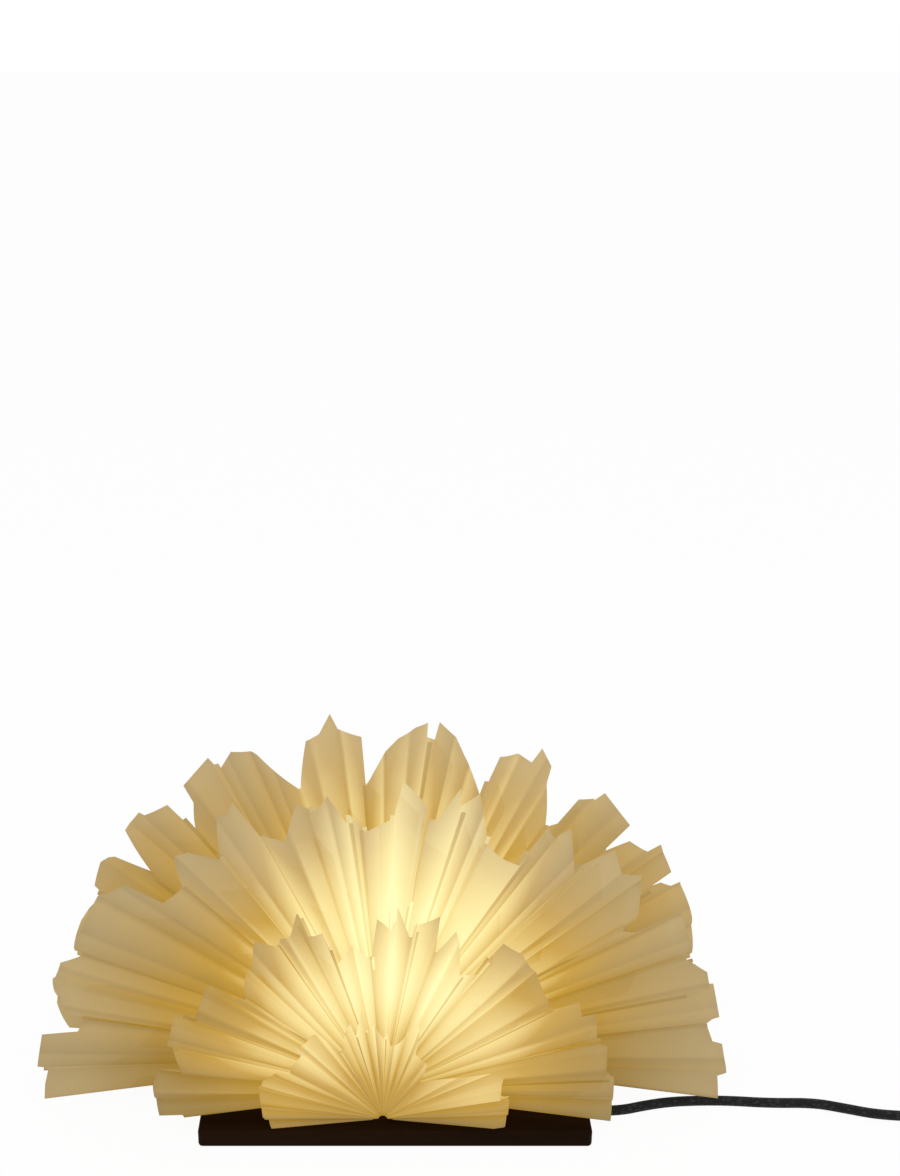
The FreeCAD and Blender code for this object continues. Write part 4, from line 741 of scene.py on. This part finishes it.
def braid_material(colours):
    """Braided textile cover: two families of strands that wind opposite ways and cross.

    UV holds the turn round the cord and the length along it in metres. A strand's rounded back is a
    sine across it, and which family lies on top changes in a checkerboard.
    """
    make = Shader("braided_cover")
    around, along, unused = make.along(make.node("ShaderNodeUVMap"))
    strands = 12.0
    lay = 1.0 / 0.0066
    first = around * strands + along * lay * 2.0
    second = around * strands - along * lay * 2.0
    over = make.maths("GREATER_THAN", make.maths("FRACT", make.maths("FLOOR", first) * 0.5
                      + make.maths("FLOOR", second) * 0.5), 0.25)
    back_first = make.maths("SINE", make.maths("FRACT", first) * math.pi)
    back_second = make.maths("SINE", make.maths("FRACT", second) * math.pi)
    height = back_first * over + back_second * (1.0 - over)
    yarn = make.node("ShaderNodeTexNoise", Vector=make.node(
        "ShaderNodeCombineXYZ", X=first * 3.0, Y=second * 3.0, Z=0.0), Scale=2.6, Detail=3.0)
    fleck = make.spread(make.node("ShaderNodeTexNoise", Vector=make.node(
        "ShaderNodeCombineXYZ", X=make.maths("FLOOR", first), Y=make.maths("FLOOR", second), Z=0.0),
        Scale=4.7, Detail=0.0), 0.56, 0.64, 0.0, 1.0)
    # Painted shade: the strands are darker, down to a quarter, in the grooves between them.
    shade = make.mixed(height, tuple(c * 0.25 for c in colours.braid) + (1.0,), (*colours.braid, 1.0))
    shade = make.mixed(fleck * (0.35 + 0.4 * yarn), shade, tuple(c * 4.5 for c in colours.braid) + (1.0,))
    return make.set(Base_Color=shade, Roughness=0.78, Specular_IOR_Level=0.2, Sheen_Weight=0.04,
                    Normal=make.bump(height + yarn * 0.3, 0.0004, 0.9))


# Bulb and lampholder

def round_thread(name, middle, low, high, radius, depth, pitch, sides=72):
    """A threaded tube: the radius swings by half the depth with height and turn, one turn a pitch."""
    rows = int((high - low) / pitch * 14)
    turn = np.linspace(0, 2 * math.pi, sides, endpoint=False)
    height = np.linspace(low, high, rows)[:, None]
    fade = np.clip(np.minimum(height - low, high - height) / (0.6 * pitch), 0, 1)
    swing = np.cos(2 * math.pi * height / pitch - turn) * depth / 2 * fade
    r = radius - depth / 2 + swing
    places = np.stack([middle[0] + r * np.cos(turn), middle[1] + r * np.sin(turn),
                       np.broadcast_to(height, r.shape)], axis=-1)
    return mesh_piece(name, places, grid_quads(rows, sides, True))


def arc(middle_r, middle_z, radius, start, stop, steps):
    """Points of an arc in a profile, by its angles from outward, in degrees."""
    turn = np.radians(np.linspace(start, stop, steps))
    return np.stack([middle_r + radius * np.cos(turn), middle_z + radius * np.sin(turn)], axis=-1)


def build_bulb(colours):
    middle = (LAMP_X, LAMP_Y)
    mouth = math.degrees(math.asin((GLOBE_LOW[2] - GLOBE_Z) / GLOBE_RADIUS))
    globe = lathe("bulb_globe_glass", np.vstack([
        arc(0, GLOBE_Z, GLOBE_RADIUS, mouth, 90, 40),
        arc(0, GLOBE_Z, GLOBE_RADIUS - 1.2 * MM, 90, mouth, 40)]), middle)
    finish_piece(globe, "bulb_opal", opal_material(colours), "bulb_globe")
    low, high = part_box("bulb_collar")
    rise = high[2] - low[2]
    lip = math.sqrt(GLOBE_RADIUS ** 2 - (GLOBE_LOW[2] - GLOBE_Z) ** 2)
    share = np.linspace(0, 1, 24)
    neck = 8.4 * MM
    curve = np.stack([neck + (lip - neck) * (0.35 * share + 0.65 * share ** 2.2),
                      low[2] + 2.5 * MM + (rise - 2.5 * MM) * share], axis=-1)
    collar = lathe("bulb_collar_moulded", np.vstack([
        [(0, low[2])], [(neck - 0.5 * MM, low[2])], [(neck, low[2] + 0.5 * MM)], curve,
        [(lip - 0.6 * MM, high[2])], [(0, high[2])]]), middle, closed=False)
    finish_piece(collar, "bulb_collar_plastic",
                 moulded_material("white_collar", (0.80, 0.78, 0.74), 0.35), "bulb_collar")
    low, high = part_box("bulb_cap")
    radius = (high[0] - low[0]) / 2
    thread = round_thread("bulb_cap_thread", middle, low[2] + 2.6 * MM, high[2] - 1.6 * MM, radius,
                          1.3 * MM, 2.8 * MM)
    ends = lathe("bulb_cap_ends", [
        (0, low[2]), (2.4 * MM, low[2]), (3.0 * MM, low[2] + 1.6 * MM),
        (radius - 1.6 * MM, low[2] + 2.1 * MM), (radius - 0.65 * MM, low[2] + 2.6 * MM)], middle, 72, False)
    rim = lathe("bulb_cap_rim", [
        (radius - 0.65 * MM, high[2] - 1.6 * MM), (radius - 0.2 * MM, high[2] - 1.2 * MM),
        (radius - 0.2 * MM, high[2]), (0, high[2])], middle, 72, False)
    joined = join_pieces("bulb_cap_metal", thread, ends, rim)
    finish_piece(joined, "bulb_cap_metal", metal_material("bulb_cap_aluminium", (0.72, 0.72, 0.70), 0.3),
                 "bulb_cap")


def join_pieces(name, *pieces):
    """One mesh from several, with coinciding rims joined."""
    places, faces, count = [], [], 0
    for piece in pieces:
        mesh = piece.data
        flat = np.empty(len(mesh.vertices) * 3, np.float32)
        mesh.vertices.foreach_get("co", flat)
        places.append(flat.reshape(-1, 3))
        faces += [[v + count for v in face.vertices] for face in mesh.polygons]
        count += len(mesh.vertices)
        bpy.data.objects.remove(piece)
    mesh = bpy.data.meshes.new(name)
    mesh.from_pydata(np.vstack(places), [], faces)
    mesh.polygons.foreach_set("use_smooth", np.ones(len(mesh.polygons), bool))
    made = bpy.data.objects.new(name, mesh)
    bpy.context.scene.collection.objects.link(made)
    merge_doubles(made, 1e-5)
    return made


# Lead

def coil_radius(turned):
    """Spirals in by a pitch a turn, rounds the reversal and spirals out again."""
    step = COIL_PITCH / (2 * math.pi)
    inward = 2 * math.pi * COIL_SPIRAL_TURNS
    climb = 2 * math.pi * COIL_CLIMB_TURNS
    inner = COIL_RADIUS - step * inward
    into = turned - inward
    return np.where(turned < inward, COIL_RADIUS - step * turned,
                    np.where(into < climb, inner - step * into * (1 - into / climb),
                             inner + step * (into - climb)))


def coil_height(turned):
    """Flat on the floor, up a layer through the reversal, flat again."""
    share = np.clip((turned / (2 * math.pi) - COIL_SPIRAL_TURNS) / COIL_CLIMB_TURNS, 0, 1)
    return CORD_DIAMETER / MM / 2 + COIL_LIFT + COIL_PITCH * share ** 2 * (3 - 2 * share)


def coil_points():
    """Control points of the coil, set out a little so that the smooth line has its radius."""
    step = COIL_PITCH / (2 * math.pi)
    start = -math.pi / 2 - math.atan(step / COIL_RADIUS)
    turned = np.linspace(0, 2 * math.pi * COIL_TURNS, round(COIL_TURNS * COIL_POINTS_PER_TURN) + 1)
    swell = 1 / (0.75 + 0.25 * math.cos(2 * math.pi / COIL_POINTS_PER_TURN))
    radius = coil_radius(turned) * swell
    middle_x = COIL_X - COIL_RADIUS * math.cos(start)
    middle_y = SWITCH_Y - COIL_RADIUS * math.sin(start)
    return np.stack([middle_x + radius * np.cos(start + turned), middle_y + radius * np.sin(start + turned),
                     coil_height(turned)], axis=-1)


def lead_points():
    """Every control point of the lead, in metres, from the relief to the plug."""
    coil = coil_points()
    diameter = CORD_DIAMETER / MM
    first_way = (coil[1] - coil[0]) / np.linalg.norm(coil[1] - coil[0])
    last_way = (coil[-1] - coil[-2]) / np.linalg.norm(coil[-1] - coil[-2])
    lead_in = coil[0] - first_way * diameter
    lead_out = coil[-1] + last_way * diameter
    switch = [np.array([x, SWITCH_Y, SWITCH_AXIS_Z]) for x in SWITCH_ENDS]
    third = (lead_in[0] - switch[1][0]) / 3
    link = [switch[1] + (third, 0, 0), lead_in - first_way * third]
    level = last_way * (1, 1, 0) / np.linalg.norm(last_way[:2])
    plug = (lead_out + level * 3 * TAIL_RUN) * (1, 1, 0) + (0, 0, PLUG_AXIS_Z)
    tail = [lead_out, lead_out + level * TAIL_RUN, plug - level * TAIL_RUN, plug]
    start = np.array(EXIT) + (RELIEF_REACH, 0, 0)
    route = np.array(LEAD_ROUTE) + (EXIT[0], EXIT[1], 0)
    rows = [start, route, switch, link, [lead_in], coil, tail]
    return np.vstack([np.asarray(row, float).reshape(-1, 3) for row in rows]) * MM


def smooth_line(points):
    """Places along the NURBS line of a list of control points, evenly spaced."""
    curve = bpy.data.curves.new("lead_line", "CURVE")
    curve.dimensions = "3D"
    curve.resolution_u = 12
    spline = curve.splines.new("NURBS")
    spline.points.add(len(points) - 1)
    spline.points.foreach_set("co", np.column_stack([points, np.ones(len(points))]).ravel())
    spline.order_u = 3
    spline.use_endpoint_u = True
    holder = bpy.data.objects.new("lead_line", curve)
    bpy.context.scene.collection.objects.link(holder)
    bpy.context.view_layer.update()
    mesh = bpy.data.meshes.new_from_object(holder)
    flat = np.empty(len(mesh.vertices) * 3, np.float32)
    mesh.vertices.foreach_get("co", flat)
    line = flat.reshape(-1, 3).astype(float)
    bpy.data.meshes.remove(mesh)
    bpy.data.objects.remove(holder)
    bpy.data.curves.remove(curve)
    gaps = np.linalg.norm(np.diff(line, axis=0), axis=1)
    along = np.concatenate([[0], np.cumsum(gaps)])
    keep = np.concatenate([[True], gaps > 1e-9])
    even = np.linspace(0, along[-1], int(along[-1] / RING_SPACING) + 1)
    return np.stack([np.interp(even, along[keep], line[keep, i]) for i in range(3)], axis=-1)


def round_tube(name, line, radius):
    """A circle carried along a line, its frame made from the tangent and the upright."""
    ahead = np.gradient(line, axis=0)
    ahead /= np.linalg.norm(ahead, axis=1, keepdims=True)
    side = np.cross(ahead, (0.0, 0.0, 1.0))
    side /= np.linalg.norm(side, axis=1, keepdims=True)
    above = np.cross(side, ahead)
    turn = np.linspace(0, 2 * math.pi, RING_SIDES + 1)
    places = (line[:, None] + radius * (np.cos(turn)[None, :, None] * side[:, None]
                                        + np.sin(turn)[None, :, None] * above[:, None]))
    length = np.concatenate([[0], np.cumsum(np.linalg.norm(np.diff(line, axis=0), axis=1))])
    uv = np.stack(np.broadcast_arrays((turn / (2 * math.pi))[None, :], length[:, None]), axis=-1)
    rows, columns = len(line), RING_SIDES
    quads = grid_quads(rows, columns, True)
    mesh = bpy.data.meshes.new(name)
    caps = [list(range(columns)), list(range(rows * columns - columns, rows * columns))[::-1]]
    mesh.from_pydata(places[:, :-1].reshape(-1, 3), [], quads.tolist() + caps)
    mesh.polygons.foreach_set("use_smooth", np.ones(len(mesh.polygons), bool))
    corners = np.empty(len(mesh.loops), np.int32)
    mesh.loops.foreach_get("vertex_index", corners)
    pairs = uv[:, :-1].reshape(-1, 2)[corners]
    seam = np.zeros(len(corners), bool)
    seam[:len(quads) * 4] = (np.tile([0, 1, 1, 0], len(quads))
                             & (np.repeat(quads[:, 1] % columns == 0, 4))).astype(bool)
    pairs[seam, 0] = 1.0
    layer = mesh.uv_layers.new(name="UVMap")
    layer.uv.foreach_set("vector", pairs.astype(np.float32).ravel())
    mesh.update()
    made = bpy.data.objects.new(name, mesh)
    bpy.context.scene.collection.objects.link(made)
    return made


def inner_lead_points():
    """Control points of the lead in its groove under the board, in metres."""
    low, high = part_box("inner_lead")
    exit_y = (low[1] + CORD_DIAMETER / 2)
    level = (low[2] + high[2]) / 2
    bend = np.array([70.0 * MM, exit_y, level])
    lamp = np.array([LAMP_X, LAMP_Y, level])
    way = (lamp - bend) / np.linalg.norm(lamp - bend)
    start = np.array([high[0], exit_y, level])
    end = lamp - way * 14.0 * MM
    return np.array([start, start + (bend - start) * 0.5, bend, bend + (end - bend) * 0.35,
                     bend + (end - bend) * 0.7, end])


# Operators and panel

class LampColours(bpy.types.PropertyGroup):
    paper: bpy.props.FloatVectorProperty(
        name="Paper", description="Colour of the paper in plain light", subtype="COLOR",
        default=(0.15, 0.125, 0.075), min=0.0, max=1.0)
    # The cream, gold and hot glow colours are painted light: the bulb's light through the paper, given off
    # by the paper itself.
    cream_glow: bpy.props.FloatVectorProperty(
        name="Cream glow", description="Tint of the lit paper far from the bulb", subtype="COLOR",
        default=(1.0, 0.72, 0.32), min=0.0, max=1.0)
    gold_glow: bpy.props.FloatVectorProperty(
        name="Gold glow", description="Tint of the lit paper low in the fans", subtype="COLOR",
        default=(1.0, 0.59, 0.095), min=0.0, max=1.0)
    hot_glow: bpy.props.FloatVectorProperty(
        name="Hot glow", description="Colour of the paper right in front of the bulb", subtype="COLOR",
        default=(1.0, 0.95, 0.50), min=0.0, max=1.0)
    studio_share: bpy.props.FloatProperty(
        name="Studio share", description="Part of the paper's colour that the studio light already gives",
        default=0.35, min=0.0, max=1.0)
    wood: bpy.props.FloatVectorProperty(
        name="Board", description="Middle tone of the stained wood", subtype="COLOR",
        default=(0.0095, 0.0040, 0.0016), min=0.0, max=1.0)
    braid: bpy.props.FloatVectorProperty(
        name="Lead", description="Colour of the braided cover", subtype="COLOR",
        default=(0.008, 0.0085, 0.009), min=0.0, max=1.0)


class StageSettings(bpy.types.PropertyGroup):
    key_power: bpy.props.FloatProperty(
        name="Key light", description="Power of the large soft light", default=17.0, min=0.0, unit="POWER")
    ambient: bpy.props.FloatProperty(
        name="Ambient", description="Strength of the even light from all round", default=0.75, min=0.0)


class LAMP_OT_paper(bpy.types.Operator):
    """Makes the pleated paper fans"""
    bl_idname = "paper_lamp.paper"
    bl_label = "Paper fans"

    def execute(self, context):
        material = paper_material("lit_paper", context.scene.lamp_colours)
        for fan in FANS:
            paper_fan(fan, material)
        return {"FINISHED"}


class LAMP_OT_board(bpy.types.Operator):
    """Finishes the wooden board, its felt and its fastenings"""
    bl_idname = "paper_lamp.board"
    bl_label = "Board"

    def execute(self, context):
        dress(wood_material(context.scene.lamp_colours), "base_board")
        dress(felt_material(), "base_felt")
        dress(moulded_material("relief_rubber", (0.012, 0.012, 0.013), 0.6), "cord_relief")
        dress(moulded_material("clamp_plastic", (0.05, 0.05, 0.05), 0.5), "cord_clamp")
        dress(metal_material("zinc_steel", (0.60, 0.60, 0.57), 0.35),
              "clamp_screws", "threaded_nipple", "nipple_nut", "holder_seat", "switch_screws")
        dress(core_material(), "lead_cores")
        return {"FINISHED"}


class LAMP_OT_bulb(bpy.types.Operator):
    """Makes the bulb and finishes the lampholder"""
    bl_idname = "paper_lamp.bulb"
    bl_label = "Bulb and lampholder"

    def execute(self, context):
        build_bulb(context.scene.lamp_colours)
        dress(moulded_material("holder_plastic", (0.016, 0.016, 0.017), 0.45), "holder_cap", "holder_shell")
        dress(ceramic_material(), "holder_disc")
        dress(metal_material("contact_brass", (0.72, 0.55, 0.25), 0.25), "holder_contact", "holder_liner",
              "switch_contacts")
        return {"FINISHED"}


class LAMP_OT_lead(bpy.types.Operator):
    """Lays the braided lead through the switch into its coil"""
    bl_idname = "paper_lamp.lead"
    bl_label = "Lead"

    def execute(self, context):
        braid = braid_material(context.scene.lamp_colours)
        line = smooth_line(lead_points())
        lead = round_tube("braided_lead", line, CORD_DIAMETER / 2)
        finish_piece(lead, "cord_braid", braid, "cord_lead", "cord_link", "cord_coil", "cord_tail")
        inner = round_tube("braided_inner_lead", smooth_line(inner_lead_points()), CORD_DIAMETER / 2)
        finish_piece(inner, "cord_braid", braid, "inner_lead")
        return {"FINISHED"}


class LAMP_OT_switch(bpy.types.Operator):
    """Finishes the cord switch, the coil's straps and the plug"""
    bl_idname = "paper_lamp.switch"
    bl_label = "Switch and plug"

    def execute(self, context):
        dress(moulded_material("switch_plastic", (0.007, 0.007, 0.0075), 0.38),
              "switch_lower_shell", "switch_upper_shell")
        dress(moulded_material("rocker_plastic", (0.012, 0.012, 0.0125), 0.3), "switch_rocker")
        dress(strap_material(), "coil_ties")
        dress(moulded_material("plug_plastic", (0.007, 0.007, 0.0075), 0.5), "plug_relief", "plug_body")
        dress(metal_material("pin_nickel", (0.74, 0.72, 0.67), 0.2), "plug_pins")
        return {"FINISHED"}


class LAMP_OT_stage(bpy.types.Operator):
    """Sets the camera, the lights and the pale floor"""
    bl_idname = "paper_lamp.stage"
    bl_label = "Stage"

    def execute(self, context):
        settings = context.scene.lamp_stage
        add_camera()
        add_floor()
        add_world(settings.ambient)
        add_light("key", (-0.9, -1.6, 1.9), 1.8, settings.key_power)
        add_light("fill", (1.4, -1.0, 1.2), 1.8, settings.key_power * 0.45)
        view = context.scene.view_settings
        view.view_transform = "Standard"
        return {"FINISHED"}


class LAMP_PT_panel(bpy.types.Panel):
    """Lists the lamp's pieces and colours"""
    bl_idname = "LAMP_PT_panel"
    bl_label = "Paper fan lamp"
    bl_space_type = "VIEW_3D"
    bl_region_type = "UI"
    bl_category = "Lamp"

    def draw(self, context):
        layout = self.layout
        colours = context.scene.lamp_colours
        for name in ("paper", "cream_glow", "gold_glow", "hot_glow", "studio_share", "wood", "braid"):
            layout.prop(colours, name)
        for name in ("key_power", "ambient"):
            layout.prop(context.scene.lamp_stage, name)
        for operator in OPERATORS:
            layout.operator(operator.bl_idname)


# Stage

def add_camera():
    """The photograph's view: its focal length is in pixels of the long side, its middle is shifted."""
    long_side = max(PHOTO_SIZE)
    camera = bpy.data.cameras.new("camera")
    camera.sensor_width = 36.0
    camera.lens = FOCAL_PIXELS / long_side * camera.sensor_width
    camera.shift_x = (PHOTO_SIZE[0] / 2 - MIDDLE_PIXEL_X) / long_side
    camera.clip_start = 0.05
    camera.clip_end = 50.0
    holder = bpy.data.objects.new("camera", camera)
    holder.location = [v * MM for v in CAMERA_PLACE]
    holder.rotation_euler = (math.radians(90 - CAMERA_PITCH), 0, 0)
    bpy.context.scene.collection.objects.link(holder)
    bpy.context.scene.camera = holder


def add_light(name, place, size, power):
    """A large square light that looks at the lamp."""
    light = bpy.data.lights.new(name, "AREA")
    light.size = size
    light.energy = power
    holder = bpy.data.objects.new(name, light)
    holder.location = place
    aim = np.array([0.0, 0.0, 0.1]) - np.array(place)
    yaw = math.atan2(aim[0], -aim[1])
    holder.rotation_euler = (math.acos(-aim[2] / np.linalg.norm(aim)), 0, yaw + math.pi)
    bpy.context.scene.collection.objects.link(holder)


def seen_white(make, plain):
    """A mix of a plain surface with white where the camera or a mirror sees it."""
    path = make.tree.nodes.new("ShaderNodeLightPath")
    seen = make.maths("MAXIMUM", Signal(make, path.outputs["Is Camera Ray"]),
                      Signal(make, path.outputs["Is Glossy Ray"]))
    return make.maths("MAXIMUM", seen, Signal(make, path.outputs["Is Transmission Ray"])) * plain


def add_floor():
    """A pale floor that shows white but keeps the lamp's shadow."""
    places = np.array([(-40, -6, 0), (40, -6, 0), (40, 90, 0), (-40, 90, 0)], float)
    floor = mesh_piece("floor", places, [(0, 1, 2, 3)])
    make = Shader("pale_floor")
    tree = make.tree
    make.set(Base_Color=(0.86, 0.86, 0.86), Roughness=0.9, Specular_IOR_Level=0.1)
    white = tree.nodes.new("ShaderNodeEmission")
    mix = tree.nodes.new("ShaderNodeMixShader")
    out = next(n for n in tree.nodes if n.type == "OUTPUT_MATERIAL")
    make._fill(mix.inputs[0], seen_white(make, 0.95))
    tree.links.new(make.surface.outputs[0], mix.inputs[1])
    tree.links.new(white.outputs[0], mix.inputs[2])
    tree.links.new(mix.outputs[0], out.inputs[0])
    floor.data.materials.append(make.material)


def add_world(ambient):
    """Even light all round, white to the camera and to mirrors."""
    world = bpy.data.worlds.new("studio")
    bpy.context.scene.world = world
    world.use_nodes = True
    tree = world.node_tree
    back = next(n for n in tree.nodes if n.type == "BACKGROUND")
    path = tree.nodes.new("ShaderNodeLightPath")
    seen = path.outputs["Is Camera Ray"]
    for ray in ("Is Glossy Ray", "Is Transmission Ray"):
        either = tree.nodes.new("ShaderNodeMath")
        either.operation = "MAXIMUM"
        tree.links.new(seen, either.inputs[0])
        tree.links.new(path.outputs[ray], either.inputs[1])
        seen = either.outputs[0]
    strength = tree.nodes.new("ShaderNodeMapRange")
    strength.inputs[3].default_value = ambient
    strength.inputs[4].default_value = 1.0
    tree.links.new(seen, strength.inputs[0])
    tree.links.new(strength.outputs[0], back.inputs["Strength"])
    back.inputs["Color"].default_value = (1.0, 1.0, 1.0, 1.0)


OPERATORS = (LAMP_OT_stage, LAMP_OT_lead, LAMP_OT_paper, LAMP_OT_board, LAMP_OT_bulb, LAMP_OT_switch)
CLASSES = (LampColours, StageSettings) + OPERATORS + (LAMP_PT_panel,)


def register():
    for each in CLASSES:
        bpy.utils.register_class(each)
    bpy.types.Scene.lamp_colours = bpy.props.PointerProperty(type=LampColours)
    bpy.types.Scene.lamp_stage = bpy.props.PointerProperty(type=StageSettings)


def unregister():
    del bpy.types.Scene.lamp_stage
    del bpy.types.Scene.lamp_colours
    for each in reversed(CLASSES):
        bpy.utils.unregister_class(each)


def main():
    register()
    for operator in ("stage", "lead", "paper", "board", "bulb", "switch"):
        getattr(bpy.ops.paper_lamp, operator)()


if __name__ == "__main__":
    main()
